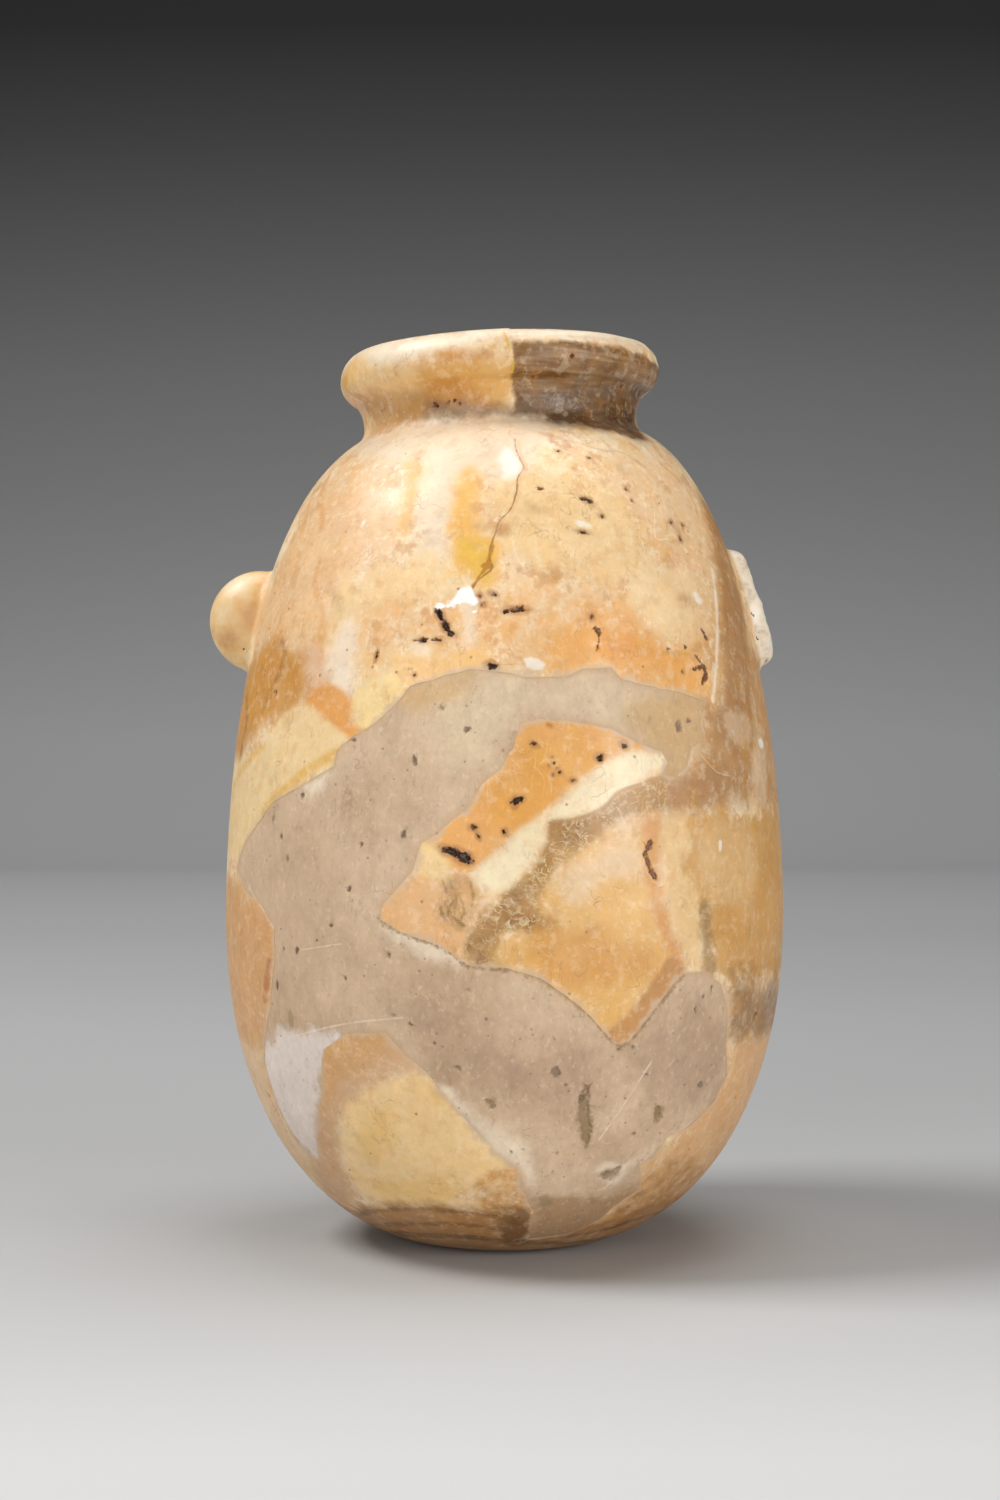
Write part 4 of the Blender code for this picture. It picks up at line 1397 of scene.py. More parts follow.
# Colours of the sides and the back, by azimuth and height
BACK_PATCHES = (
    Patch("back_cream", "F3E2C2", 7, 6, 0.75, chart=Chart.WALL, outlines=((100,120, 130,140,
     165,132, 190,110, 180,85, 150,78, 115,90), (210,60, 240,80, 262,70, 258,40,
     230,35))),
    Patch("back_peach", "E8C3A0", 8, 6, 0.7, texture=Texture.SPECKLED, chart=Chart.WALL,
     outlines=((140,165, 180,172, 225,168, 235,145, 200,138, 160,142), (105,60, 140,70,
     170,50, 160,25, 120,22))),
    Patch("back_yellow", "EBC47C", 5, 4, 0.7, chart=Chart.WALL, outlines=((195,118, 222,126,
     250,112, 246,98, 215,96, 198,104),)),
    Patch("back_amber", "C98F4E", 3, 3, 0.7, chart=Chart.WALL, strokes=((3.0, (118,104, 140,97,
     165,92, 195,84, 225,88, 250,84)), (2.2, (150,36, 180,30, 215,33, 245,24)))),
    Patch("back_veins", "B77F4C", 1.4, 1, 0.6, chart=Chart.WALL, strokes=((0.8, (112,148,
     135,136, 160,120, 172,104)), (0.7, (205,150, 222,132, 248,128)), (0.7, (130,84,
     150,66, 182,60)))),
    Patch("back_joint", "9A7440", 0.5, 0.25, 0.8, depth=0.3, chart=Chart.WALL, strokes=((0.4,
     (150,172, 156,160, 152,147, 163,136, 160,122, 170,112, 184,104, 190,92, 203,84,
     207,72)),)),
    Patch("back_pits", "50341E", 0.5, 0.3, 0.9, depth=0.8, chart=Chart.WALL, spots=((128, 118, 1.1,
     0.6, 20), (176, 97, 1.3, 0.8, -10), (233, 66, 1.0, 0.7, 40), (204, 128, 0.9, 0.5, 0), (150,
     48, 1.2, 0.7, 15), (214, 40, 0.7, 0.6, 0), (110, 77, 0.6, 0.6, 0), (246, 105, 0.8, 0.5, 30),
     (187, 60, 0.6, 0.5, 0))),
)
STONE_PATCHES = BACK_PATCHES + STONE_PATCHES


@dataclass(frozen=True)
class TurnedShell:
    """The whole turned shell, before its lugs are joined and its wall is broken through."""

    wall: Wall
    body_step: float = 1.4 * MM
    lip_step: float = 0.8 * MM
    foot_step: float = 2.5 * MM
    bore_step: float = 1.5 * MM
    inner_step: float = 3.5 * MM
    bore_start: float = 0.15
    neck_start: float = 0.171
    foot_end: float = 0.0004
    front_steps: int = 130
    back_steps: int = 58

    def spacing(self, middles: np.ndarray, along: np.ndarray) -> np.ndarray:
        """Choose the mesh's step along the wall's line.

        Args:
            middles: rows of radius and height.
            along: their distances along the line.

        Returns:
            The steps in metres.
        """
        height = middles[:, 1]
        inner = np.where(height > self.bore_start, self.bore_step, self.inner_step)
        outer = np.where(height > self.neck_start, self.lip_step, self.body_step)
        outer = np.where(height < self.foot_end, self.foot_step, outer)
        return np.where(along > self.wall.rim_along, outer, inner)

    def shape(self) -> bmesh.types.BMesh:
        """Turn the shell."""
        return Shaper.turned(self.wall.spaced(self.spacing), self.front_steps, self.back_steps)


@dataclass
class Piece:
    """One piece of the vessel: what it replaces, what is marked on it, and how it is worn."""

    name: str
    node: str
    slot: str
    wall: Wall
    surveyor: Surveyor
    edge: EdgeFinder
    patches: tuple[Patch, ...]
    passes: int = 3
    skin: float = 0.05 * MM
    sharp_angle: float = math.radians(50)
    border_reach: float = 1.0
    border_mesh: float = 0.58 * MM
    mark_reach: float = 0.5
    mark_mesh: float = 0.26 * MM
    thin_blur: float = 1.3
    far: float = 9.0

    def wanted_mesh(self, points: np.ndarray) -> np.ndarray:
        """Give the longest edge wanted at points.

        Args:
            points: rows on the upright form.

        Returns:
            Lengths in metres.
        """
        places = self.wall.locate(points)
        wanted = np.ones(len(points))
        surface = (np.abs(places.gap) < MM) & (places.along > self.wall.rim_along)
        wanted[surface & (self.edge.distance(points) < self.border_reach)] = self.border_mesh
        for patch in self.patches:
            if patch.depth == 0.0 and patch.blur > self.thin_blur:
                continue
            size = self.mark_mesh if patch.depth > 0 else max(self.mark_mesh, 0.7 * patch.blur * MM)
            depth = self.surveyor.measure(patch, places)
            inner = self.mark_reach + 3 * size / MM
            marked = surface & (depth > -self.mark_reach) & (depth < inner)
            wanted[marked] = np.minimum(wanted[marked], size)
        return wanted

    def settled(self, points: np.ndarray) -> np.ndarray:
        """Bring points onto forms that aren't turned; a plain piece has none."""
        return points

    def sunk(self, points: np.ndarray, places: Places, depths: dict[str, np.ndarray]) -> np.ndarray:
        """Give how far the outside is worn or cut back at points.

        Args:
            points: rows on the upright form.
            places: their places on the wall.
            depths: each patch's depths.

        Returns:
            Millimetres, below 0 into the wall.
        """
        sunk = self.hand_carving(points)
        for patch in self.patches:
            if patch.depth > 0:
                sunk -= patch.depth * smooth_share(depths[patch.name], -0.08, 0.4)
        return sunk

    def hand_carving(self, points: np.ndarray) -> np.ndarray:
        """Give the slight unevenness that hand carving left, in millimetres and never proud."""
        broad = -0.17 * (1 + noise_at(points, 0.03)) - 0.05 * (1 + noise_at(points, 0.009, 5.0))
        return broad * smooth_share(points[:, 2], 0.0004, 0.006)

    @staticmethod
    def roughened(depth: np.ndarray, points: np.ndarray, amount: float) -> np.ndarray:
        """Roughen a mark's border.

        Args:
            depth: how deep each point lies inside the mark, in millimetres.
            points: rows on the upright form.
            amount: how far the border moves, in millimetres.

        Returns:
            The depths with an uneven border.
        """
        near = np.flatnonzero(depth > -1.0)
        if len(near):
            coarse = noise_at(points[near], 0.0011, 2.0)
            depth[near] += amount * (coarse + noise_at(points[near], 0.0005, 8.0))
        return depth

    def extra_values(self, places: Places) -> dict[str, np.ndarray]:
        """Give further values that the material reads; a plain piece has none."""
        return {}

    def dressed(self, bm: bmesh.types.BMesh, material: bpy.types.Material) -> bpy.types.Object:
        """Wear the surface, measure the marks on it, hang the piece on the root body, and hide the
        solid it replaces.

        Args:
            bm: the piece's shape, which is freed.
            material: its material.

        Returns:
            The finished object.
        """
        Shaper.refine(bm, self.wanted_mesh, self.passes)
        points = self.settled(Shaper.positions(bm))
        places = self.wall.locate(points)
        depths = {}
        for patch in self.patches:
            depth = self.surveyor.measure(patch, places)
            if patch.depth > 0:
                depth = self.roughened(depth, points, patch.ragged)
            depths[patch.name] = depth
        values = {**depths, "joint": np.minimum(self.edge.distance(points), self.far),
                  **self.extra_values(places)}
        snap = np.where(np.abs(places.gap) < self.skin, places.gap, 0.0)
        move = np.where(places.gap > -self.skin, self.sunk(points, places, depths) * MM - snap, 0.0)
        points = self.wall.form.lean(points + places.normal * move[:, None])
        mesh = bpy.data.meshes.new(self.name)
        bm.to_mesh(mesh)
        bm.free()
        mesh.vertices.foreach_set("co", points.astype(np.float32).ravel())
        for name, value in values.items():
            attribute = mesh.attributes.new(name=name, type="FLOAT", domain="POINT")
            attribute.data.foreach_set("value", value.astype(np.float32))
        mesh.materials.clear()
        mesh.materials.append(material)
        mesh.shade_smooth()
        mesh.set_sharp_from_angle(angle=self.sharp_angle)
        mesh.update()
        piece = linked(self.name, mesh)
        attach(piece, "root")
        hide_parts(self.node)
        log.info("%s: %d triangles", self.name, len(mesh.polygons))
        return piece


@dataclass
class StoneVessel(Piece):
    """The calcite vessel: its lugs, its lip mended from two sherds, and the hole in its wall."""

    lugs: tuple[Lug, ...] = ()
    lip_start: float = 0.1752
    lip_end: float = 0.179
    striation: float = 0.0008
    joint_turn: float = math.radians(4)
    tooled_end: float = math.radians(115)
    lip_mesh: float = 0.64 * MM
    lug_mesh: float = 0.6 * MM
    lug_reach: float = 0.0018
    ring_pitch: float = 0.0024

    def build(self, shell: TurnedShell, slab: bmesh.types.BMesh,
              material: bpy.types.Material) -> bpy.types.Object:
        """Join the lugs to the shell, break the wall through, and finish the stone.

        Args:
            shell: the turned shell.
            slab: what cuts the hole.
            material: the stone's finish.

        Returns:
            The finished object.
        """
        body = shell.shape()
        for lug in self.lugs:
            body = Shaper.joined(body, lug.shape(), Join.UNION)
        return self.dressed(Shaper.joined(body, slab, Join.DIFFERENCE), material)

    def wanted_mesh(self, points: np.ndarray) -> np.ndarray:
        """Give the longest edge wanted at points, finer on the lugs and the cut lip."""
        wanted = super().wanted_mesh(points)
        azimuth = np.arctan2(points[:, 0], -points[:, 1])
        out = np.hypot(points[:, 0], points[:, 1])
        tooled = (points[:, 2] > self.lip_start) & (azimuth > 0) & (azimuth < self.tooled_end)
        tooled &= out > self.wall.form.neck_radius - MM
        wanted[tooled] = np.minimum(wanted[tooled], self.lip_mesh)
        for lug in self.lugs:
            near = np.flatnonzero(np.linalg.norm(points - lug.centre, axis=1) < lug.height)
            close = np.abs(lug.gap(points[near])) < self.lug_reach
            close &= self.body_gap(points[near]) > -MM / 2
            wanted[near[close]] = np.minimum(wanted[near[close]], self.lug_mesh)
        return wanted

    def body_gap(self, points: np.ndarray) -> np.ndarray:
        """Give how far points stand outside the turned body, below 0 inside it."""
        step = MM / 10
        radius = self.wall.outer_radius(points[:, 2])
        slope = (self.wall.outer_radius(points[:, 2] + step) - radius) / step
        return (np.hypot(points[:, 0], points[:, 1]) - radius) / np.hypot(1.0, slope)

    def carved_gap(self, points: np.ndarray, lug: Lug) -> np.ndarray:
        """Give how far points stand outside the body and a lug, joined by a small fillet."""
        body, knob = self.body_gap(points), lug.gap(points)
        blend = np.maximum(lug.fillet - np.abs(body - knob), 0.0) / lug.fillet
        return np.minimum(body, knob) - blend ** 2 * lug.fillet / 4

    def settled(self, points: np.ndarray) -> np.ndarray:
        """Draw the lugs and the body together, and roughen the break.

        Args:
            points: rows on the upright form.

        Returns:
            The points on the carved form.
        """
        step = MM / 20
        for lug in self.lugs:
            near = np.linalg.norm(points - lug.centre, axis=1) < lug.height
            near &= self.body_gap(points) > -self.skin
            picked = np.flatnonzero(near)
            picked = picked[lug.gap(points[picked]) < 2 * lug.fillet]
            rows = points[picked]
            for _ in range(4):
                here = self.carved_gap(rows, lug)
                slope = np.column_stack([(self.carved_gap(rows + step * axis, lug) - here) / step
                                         for axis in np.eye(3)])
                steep = np.maximum(np.sum(slope ** 2, axis=1), 0.2)
                rows = rows - slope * (here / steep)[:, None]
            points[picked] = rows
        return points

    def sunk(self, points: np.ndarray, places: Places, depths: dict[str, np.ndarray]) -> np.ndarray:
        """Wear the stone back: its marks, turned lip, broken edges and drilled hollow."""
        sunk = super().sunk(points, places, depths)
        sunk -= 0.03 * np.exp(-(self.edge.distance(points) / 0.5) ** 2)
        lip = smooth_share(points[:, 2], self.lip_start, self.lip_end)
        right = smooth_share(places.azimuth, self.joint_turn - 0.02, self.joint_turn + 0.01)
        right *= 1 - smooth_share(places.azimuth, self.tooled_end - 0.3, self.tooled_end)
        rows = points / np.array([0.014, 0.014, self.striation])
        tooling = noise_at(rows, 1.0) + 0.5 * noise_at(rows * 2.1, 1.0, 4.0)
        sunk -= lip * (right * (0.3 + 0.13 * tooling) + 0.03 * (1 + tooling))
        rings = 0.5 + 0.5 * np.sin(points[:, 2] * 2 * math.pi / self.ring_pitch)
        bore = smooth_share(points[:, 2], 0.15, 0.16)
        inner = -0.1 * rings * bore - 0.2 * (1 + noise_at(points, 0.006, 9.0)) * (1 - bore)
        return np.where(places.along > self.wall.rim_along, sunk, inner)

    def extra_values(self, places: Places) -> dict[str, np.ndarray]:
        """Give what lies in the hollow, at the front, and on the lugs."""
        rim = self.wall.rim_along
        proud = smooth_share(places.gap, 0.3 * MM, 1.2 * MM)
        return {"hollow": 1 - smooth_share(places.along, rim - 6 * MM, rim + 0.5 * MM),
                "front": smooth_share(np.cos(places.azimuth), -0.1, 0.35),
                "broken_lug": proud * (places.azimuth > 0),
                "whole_lug": proud * (places.azimuth < 0)}


@dataclass
class PlasterFill(Piece):
    """The plaster that closes the hole, a little lower than the stone along its border."""

    def build(self, shell: TurnedShell, slab: bmesh.types.BMesh,
              material: bpy.types.Material) -> bpy.types.Object:
        """Cut the plaster from the shell and finish it."""
        return self.dressed(Shaper.joined(shell.shape(), slab, Join.INTERSECT), material)

    def sunk(self, points: np.ndarray, places: Places, depths: dict[str, np.ndarray]) -> np.ndarray:
        """Sink the plaster a little below the stone, most of all along its border."""
        border = np.exp(-(self.edge.distance(points) / 0.5) ** 2)
        trowelled = 0.04 * (1 + noise_at(points, 0.005, 12.0))
        sunk = super().sunk(points, places, depths) - 0.02 - 0.03 * border - trowelled
        return np.where(places.along > self.wall.rim_along, sunk, 0.0)


@dataclass(frozen=True)
class CalciteFinish:
    """Banded calcite, cut and drilled by hand, then rubbed smooth.

    Light goes a few millimetres into it, so its edges and shades look warm. Layers of cream,
    peach, yellow and amber wander through it; pits are dark with old dirt. The crystal grain
    is about 0.3 mm, and drawn at 0.6 mm so that it shows.
    """

    layer_direction: tuple[float, float, float] = (0.62, 0.25, -0.74)
    layer_period: float = 0.042
    ior: float = 1.57
    scatter_depth: float = 0.0012
    scatter_share: float = 0.14
    polish: tuple[float, float] = (0.36, 0.52)
    layers: Stops = (
        (0.0, "F1DAB2"), (0.16, "EBC68C"), (0.3, "F5E5CB"), (0.45, "E8BE90"), (0.58, "DAAA76"),
        (0.7, "EFD3A8"), (0.84, "DCA55E"), (1.0, "C48C50"))
    drifts: tuple[tuple[float, float, str, float, float], ...] = (
        (0.011, 1.0, "DD9850", 0.5, 0.22), (0.007, 2.0, "F8E4C0", 0.4, 0.2),
        (0.005, 3.0, "EBB050", 0.5, 0.18), (0.003, 4.0, "C88A50", 0.5, 0.07),
        (0.002, 5.0, "FBE9C8", 0.5, 0.06))
    clouds: tuple[tuple[float, float, float], ...] = (
        (0.014, 0.22, 2.0), (0.0028, 0.2, 2.0), (0.0006, 0.1, 1.0))
    bruised: Stops = ((0.3, "8E7C6A"), (0.38, "D8C6AC"), (0.5, "F0DFC6"), (0.7, "F8EEDC"))
    rubbed: Stops = ((0.34, "CF944C"), (0.45, "E3B66C"), (0.56, "EBCB94"), (0.7, "F2DCB4"))

    def material(self, patches: tuple[Patch, ...]) -> bpy.types.Material:
        """Make the stone's material: a soft polish with fine scratches, and light inside it.

        Args:
            patches: the patches of colour painted over the layers.

        Returns:
            The material.
        """
        graph = Graph("banded_calcite_rubbed_smooth")
        textures = self.textures(graph)
        colour = self.drifted(graph, self.layered(graph, textures), 1.0)
        wander = graph.border_noise()
        zones = tuple(patch for patch in patches if patch not in MARK_PATCHES)
        colour = self.drifted(graph, graph.paint(colour, zones, wander, textures), 0.34)
        colour = graph.flecked(colour, "FFF3DC", "94642F")
        colour = graph.paint(colour, MARK_PATCHES, wander, textures)
        colour = graph.clouded(colour, graph.place, self.clouds)
        colour = self.edges_coloured(graph, self.lugs_coloured(graph, colour))
        worn = graph.add("TexNoise", {"Vector": graph.place, "Scale": 1 / 0.009, "Detail": 4.0})
        rough = graph.add("MapRange", {"Value": worn, "From Min": 0.3, "From Max": 0.7,
                                       "To Min": self.polish[0], "To Max": self.polish[1]})
        grain = graph.add("TexNoise", {"Vector": graph.place, "Scale": 1 / 0.0011, "Detail": 4.0,
                                       "Roughness": 0.6})
        bump = graph.add("Bump", {"Height": grain, "Distance": 0.00012, "Strength": 0.5})
        return graph.shaded(Base_Color=colour, Roughness=rough, IOR=self.ior, Normal=bump,
                            Subsurface_Weight=self.scatter_share,
                            Subsurface_Radius=(1.0, 0.6, 0.32),
                            Subsurface_Scale=self.scatter_depth)

    def layered(self, graph: Graph, textures: dict[Texture, Socket]) -> Socket:
        """Fold the stone's layers, calmer at the front, with thin veins and pale speckles.

        Args:
            graph: the material's graph.
            textures: what breaks up colours.

        Returns:
            The layers' colour.
        """
        drift = graph.add("TexNoise", {"Vector": graph.place, "Scale": 1 / 0.028, "Detail": 3.0})
        layer = graph.add("VectorMath", {0: graph.place, 1: self.layer_direction}, out="Value",
                          operation="DOT_PRODUCT")
        scaled = graph.add("Math", {0: layer, 1: 1 / self.layer_period}, operation="MULTIPLY")
        folded = graph.add("Math", {0: drift, 1: 1.8, 2: scaled}, operation="MULTIPLY_ADD")
        phase = graph.add("Math", {0: folded, 1: 1.0}, operation="PINGPONG")
        colour = graph.add("ValToRGB", {0: phase}, stops=self.layers)
        front = graph.add("Attribute", out="Fac", attribute_name="front")
        colour = graph.tint(colour, "EDCB9A", front, high=0.6)
        vein = graph.add("TexNoise", {"Vector": graph.place, "Scale": 1 / 0.022, "Detail": 4.0,
                                      "Distortion": 0.6})
        colour = graph.tint(colour, "D9A873", graph.off_middle(vein), 0.0, 0.02, 0.35, 0.0)
        return graph.tint(colour, "F8EBD4", textures[Texture.SPECKLED], high=0.15)

    @staticmethod
    def textures(graph: Graph) -> dict[Texture, Socket]:
        """Make what breaks up the patches that aren't plain.

        Args:
            graph: the material's graph.

        Returns:
            A share from 0 to 1 for each texture.
        """
        speckle = graph.add("TexNoise", {"Vector": graph.place, "Scale": 1 / 0.0034,
                                         "Detail": 5.0, "Roughness": 0.65})
        speckled = graph.add("MapRange", {"Value": speckle, "From Min": 0.36, "From Max": 0.6,
                                          "To Min": 0.1})
        crackle = graph.add("TexNoise", {"Vector": graph.place, "Scale": 1 / 0.0021,
                                         "Detail": 2.0, "Distortion": 0.8})
        fractured = graph.add("MapRange", {"Value": graph.off_middle(crackle), "From Min": 0.01,
                                           "From Max": 0.04, "To Min": 1.0, "To Max": 0.0})
        crystalline = graph.add("Math", {0: fractured, 1: speckled}, operation="MULTIPLY")
        drawn = graph.add("VectorMath", {0: graph.place, 1: (1 / 0.012, 1 / 0.012, 1 / 0.0012)},
                          operation="MULTIPLY")
        streak = graph.add("TexNoise", {"Vector": drawn, "Scale": 1.0, "Detail": 5.0,
                                        "Distortion": 0.4})
        streaked = graph.add("MapRange", {"Value": streak, "From Min": 0.35, "From Max": 0.6,
                                          "To Min": 0.78})
        return {Texture.SPECKLED: speckled, Texture.CRYSTALLINE: crystalline,
                Texture.STREAKED: streaked}

    def drifted(self, graph: Graph, colour: Socket, strength: float) -> Socket:
        """Let cream, peach, yellow and rose drift through every layer.

        Args:
            graph: the material's graph.
            colour: the colour so far.
            strength: the share of the full drifts.

        Returns:
            The colour with its drifts.
        """
        for size, seed, code, share, softness in self.drifts:
            drift = graph.add("TexNoise", {"Vector": graph.place, "W": seed, "Scale": 1 / size,
                                           "Detail": 4.0, "Roughness": 0.6}, noise_dimensions="4D")
            colour = graph.tint(colour, code, drift, 0.56 - softness / 2, 0.56 + softness,
                                high=share * strength)
        return colour

    def lugs_coloured(self, graph: Graph, colour: Socket) -> Socket:
        """Whiten the broken lug, where the calcite is bruised, and keep the whole one pale."""
        for name, size, detail, roughness, stops, cover in (
                ("broken_lug", 0.0036, 5.0, 0.6, self.bruised, 1.0),
                ("whole_lug", 0.008, 3.0, 0.5, self.rubbed, 0.7)):
            cloud = graph.add("TexNoise", {"Vector": graph.place, "Scale": 1 / size,
                                           "Detail": detail, "Roughness": roughness})
            tone = graph.add("ValToRGB", {0: cloud}, stops=stops)
            share = graph.add("Attribute", out="Fac", attribute_name=name)
            colour = graph.tint(colour, tone, share, high=cover)
        return colour

    @staticmethod
    def edges_coloured(graph: Graph, colour: Socket) -> Socket:
        """Smear plaster over the hem of the hole, and darken the hollow to a dull beige."""
        joint = graph.add("Attribute", out="Fac", attribute_name="joint")
        uneven = graph.add("TexNoise", {"Vector": graph.place, "Scale": 1 / 0.003, "Detail": 4.0})
        moved = graph.add("Math", {0: uneven, 1: -5.0, 2: joint}, operation="MULTIPLY_ADD")
        colour = graph.tint(colour, "D2B594", moved, -2.5, -1.5, 0.75, 0.0)
        hollow = graph.add("Attribute", out="Fac", attribute_name="hollow")
        return graph.tint(colour, "B79B78", hollow, high=0.85)


@dataclass(frozen=True)
class PlasterFinish:
    """Tinted gypsum plaster, pressed in, scraped level and left matt.

    It is chalky and takes no polish; scraping left fine upright mottling, small air bubbles
    and thin scratches.
    """

    ior: float = 1.52
    roughness: float = 0.86
    upright: tuple[float, float, float] = (1.0, 1.0, 0.7)
    ground: Stops = ((0.28, "B89878"), (0.45, "C9AB8B"), (0.6, "D4B798"), (0.75, "E2C9AB"))
    mottle: tuple[tuple[float, float, float], ...] = (
        (0.0042, 0.3, 3.0), (0.0015, 0.3, 3.0), (0.0006, 0.12, 3.0))

    def material(self, patches: tuple[Patch, ...]) -> bpy.types.Material:
        """Make the plaster's material.

        Args:
            patches: the stains and marks painted over the ground.

        Returns:
            The material.
        """
        graph = Graph("tinted_gypsum_plaster_scraped")
        cloud = graph.add("TexNoise", {"Vector": graph.place, "Scale": 1 / 0.02, "Detail": 5.0,
                                       "Roughness": 0.6})
        colour = graph.add("ValToRGB", {0: cloud}, stops=self.ground)
        colour = graph.flecked(colour, "EBD6BA", "8A6E52")
        colour = graph.paint(colour, patches, graph.border_noise(), {})
        drawn = graph.add("VectorMath", {0: graph.place, 1: self.upright}, operation="MULTIPLY")
        colour = graph.clouded(colour, drawn, self.mottle)
        for size, seed, start, code in ((0.0011, 11.0, 0.6, "EBDAC2"),
                                        (0.0009, 12.0, 0.62, "8E755A")):
            fleck = graph.add("TexNoise", {"Vector": drawn, "W": seed, "Scale": 1 / size,
                                           "Detail": 2.0}, noise_dimensions="4D")
            colour = graph.tint(colour, code, fleck, start, start + 0.06, high=0.2)
        bubble = graph.add("TexVoronoi", {"Vector": graph.place, "Scale": 1 / 0.0034},
                           out="Distance")
        hole = graph.add("MapRange", {"Value": bubble, "From Min": 0.04, "From Max": 0.1,
                                      "To Min": 0.55, "To Max": 0.0})
        colour = graph.tint(colour, "7C6650", hole)
        joint = graph.add("Attribute", out="Fac", attribute_name="joint")
        uneven = graph.add("Math", {0: cloud, 1: -6.0, 2: joint}, operation="MULTIPLY_ADD")
        colour = graph.tint(colour, "C8A278", uneven, -3.2, -2.0, 0.5, 0.0)
        grit = graph.add("TexNoise", {"Vector": drawn, "Scale": 1 / 0.0009, "Detail": 4.0,
                                      "Roughness": 0.65})
        height = graph.add("Math", {0: hole, 1: -1.2, 2: grit}, operation="MULTIPLY_ADD")
        bump = graph.add("Bump", {"Height": height, "Distance": 0.0002, "Strength": 0.6})
        return graph.shaded(Base_Color=colour, Roughness=self.roughness, IOR=self.ior, Normal=bump)


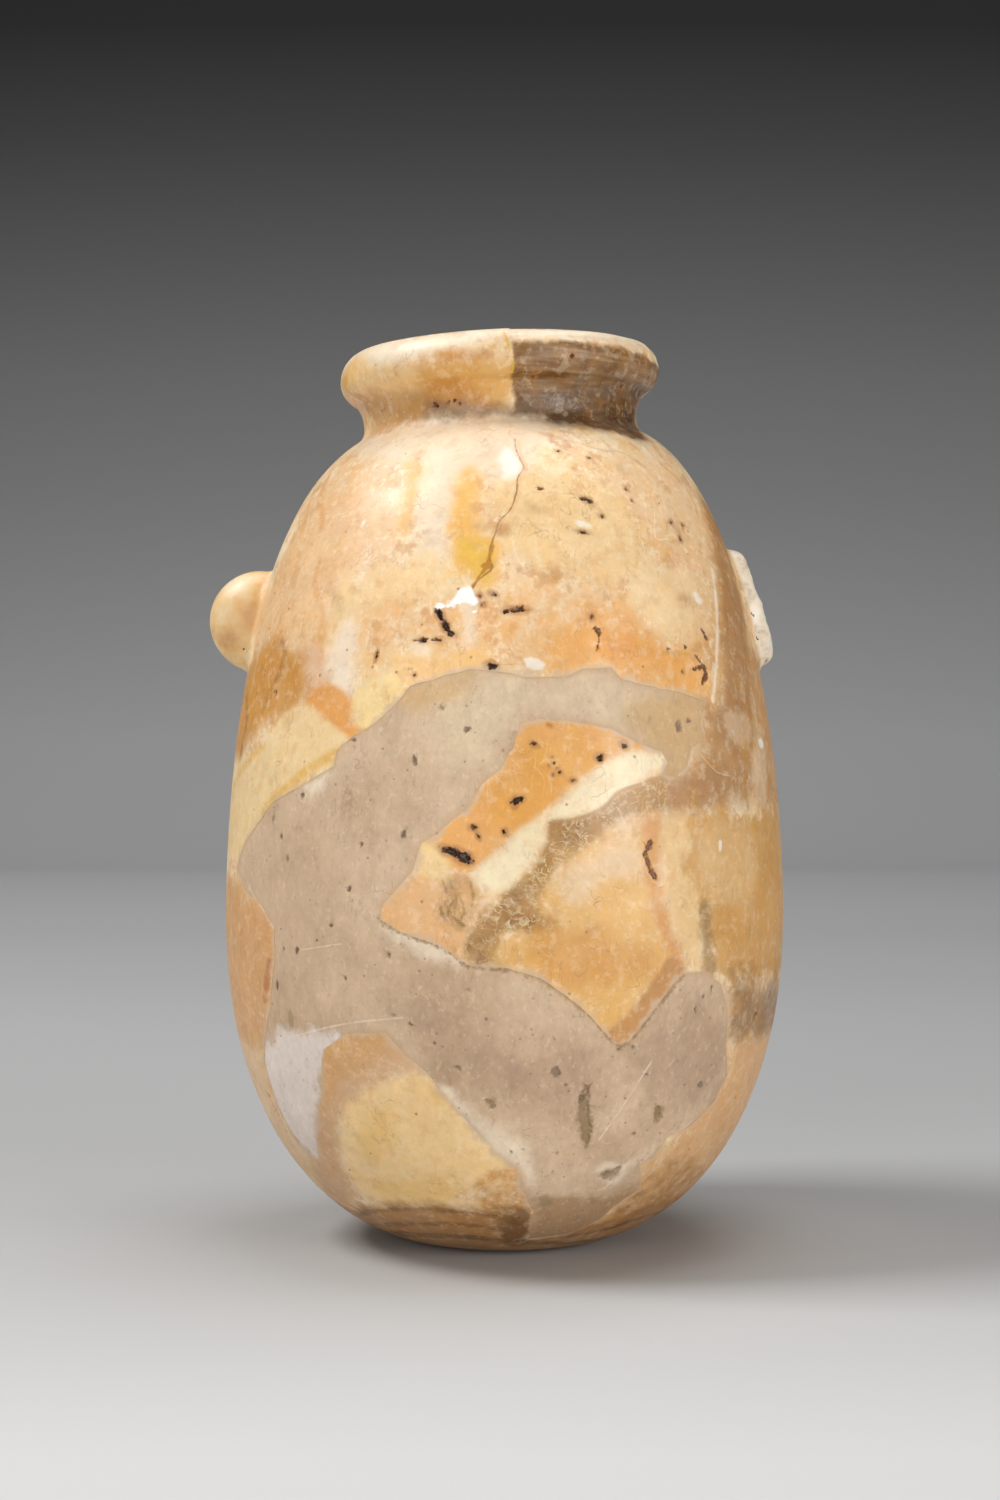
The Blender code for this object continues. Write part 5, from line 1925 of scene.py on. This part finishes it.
@dataclass(frozen=True)
class Studio:
    """A pale sheet that runs back and up behind the vessel, with painted shade where it rises, soft
    lights, and the camera.
    """

    photo: PhotoCamera
    front: float = 3.0
    back: float = 1.6
    bend: float = 0.8
    top: float = 3.0
    half_width: float = 4.0
    rows: int = 160
    world_grey: float = 0.09
    # Tones along the sheet: the darkening as it rises is painted shade, and the bright stretch near
    # 0.56 is painted light that evens out the lamps' fall-off far behind
    falloff_tones: Stops = (
        (0.0, "D6D6D6"), (0.3516, "D6D6D6"), (0.3606, "C6C6C6"), (0.3742, "B8B8B8"),
        (0.3972, "B5B5B5"), (0.4441, "BDBDBD"), (0.48, "CBCBCB"), (0.56, "FCFCFC"),
        (0.6248, "EBEBEB"), (0.6518, "D2D2D2"), (0.6744, "BABABA"), (0.6948, "A5A5A5"),
        (0.7141, "888888"), (0.7323, "686868"), (0.7503, "464646"), (1.0, "242424"))
    lamps: tuple[tuple[str, tuple[float, float, float], float, float], ...] = (
        ("key", (-0.85, -0.1, 1.2), 0.5, 13.0), ("top", (0.2, 0.1, 1.4), 0.8, 7.5),
        ("right", (1.0, -0.9, 0.25), 0.7, 10.5), ("left", (-0.5, -1.1, 0.22), 0.7, 5.0))
    aim: tuple[float, float, float] = (0.0, 0.0, 0.1)

    def place(self, run: float) -> tuple[float, float]:
        """Give where a point of the sheet lies, by its distance from the front edge.

        Args:
            run: the distance along the sheet.

        Returns:
            Its Y and its height.
        """
        turn = (run - self.front - self.back) / self.bend
        if turn <= 0:
            return run - self.front, 0.0
        if turn <= math.pi / 2:
            return self.back + self.bend * math.sin(turn), self.bend * (1 - math.cos(turn))
        return self.back + self.bend, self.bend * (1 + turn - math.pi / 2)

    def sheet(self) -> bpy.types.Object:
        """Make the sheet.

        Returns:
            Its object.
        """
        length = self.front + self.back + self.bend * (math.pi / 2 - 1) + self.top
        bm = bmesh.new()
        bmesh.ops.create_grid(bm, x_segments=2, y_segments=self.rows, size=1.0)
        layer = bm.verts.layers.float.new("sheet_run")
        for vert in bm.verts:
            vert[layer] = (vert.co.y + 1) / 2
            back, up = self.place(vert[layer] * length)
            vert.co = (vert.co.x * self.half_width, back, up)
        mesh = bpy.data.meshes.new("sheet")
        bm.to_mesh(mesh)
        bm.free()
        mesh.shade_smooth()
        # Matt paper, pale where the vessel stands and painted darker as it rises, as painted shade
        # of the light falling off
        graph = Graph("matt_paper_painted_falloff")
        run = graph.add("Attribute", out="Fac", attribute_name="sheet_run")
        tone = graph.add("ValToRGB", {0: run}, stops=self.falloff_tones)
        mesh.materials.append(graph.shaded(Base_Color=tone, Roughness=0.9))
        sheet = linked("sheet", mesh)
        return sheet

    def light(self) -> None:
        """Hang the lamps and light the world around them."""
        for name, position, size, power in self.lamps:
            lamp = bpy.data.lights.new(name, "AREA")
            lamp.size = size
            lamp.energy = power
            holder = linked(name, lamp)
            holder.location = position
            direction = Vector(self.aim) - Vector(position)
            holder.rotation_euler = direction.to_track_quat("-Z", "Y").to_euler()
        world = bpy.data.worlds.new("studio")
        world.use_nodes = True
        background = world.node_tree.nodes["Background"]
        background.inputs["Color"].default_value = (self.world_grey,) * 3 + (1.0,)
        bpy.context.scene.world = world

    def camera(self) -> None:
        """Set up the camera that took the photograph, level and looking along +Y."""
        data = bpy.data.cameras.new("photo")
        data.lens = self.photo.lens
        data.sensor_width = self.photo.sensor
        data.clip_start = 0.01
        camera = linked("photo", data)
        camera.location = self.photo.position
        camera.rotation_euler = (math.pi / 2, 0.0, 0.0)
        bpy.context.scene.camera = camera

    def build(self) -> None:
        """Set the whole studio up."""
        self.camera()
        self.sheet()
        self.light()
        bpy.context.scene.view_settings.view_transform = "Standard"


def main() -> None:
    """Build the studio and the vessel's two pieces, and report on them."""
    logging.basicConfig(level=logging.INFO, format="%(name)s: %(message)s")
    form = VesselForm.from_frame()
    wall = Wall(form)
    photo = PhotoCamera()
    Studio(photo).build()
    surveyor = Surveyor(wall, photo)
    window = BrokenWindow(wall, surveyor, BROKEN_EDGE)
    ring = window.ring()
    edge = EdgeFinder(window, ring)
    slab = window.slab(ring)
    shell = TurnedShell(wall)
    lugs = (Lug(form, side=-1, level=0.133, height=0.023),
            Lug(form, side=1, level=0.1355, height=0.026, stub=0.0047))
    stone = StoneVessel("banded_calcite_body", "stone_vessel", "banded_calcite", wall, surveyor,
                        edge, STONE_PATCHES, lugs=lugs)
    stone.build(shell, slab, CalciteFinish().material(STONE_PATCHES))
    fill = PlasterFill("plaster_repair", "plaster_fill", "beige_plaster", wall, surveyor, edge,
                       PLASTER_PATCHES)
    fill.build(shell, slab, PlasterFinish().material(PLASTER_PATCHES))


if __name__ == "__main__":
    main()
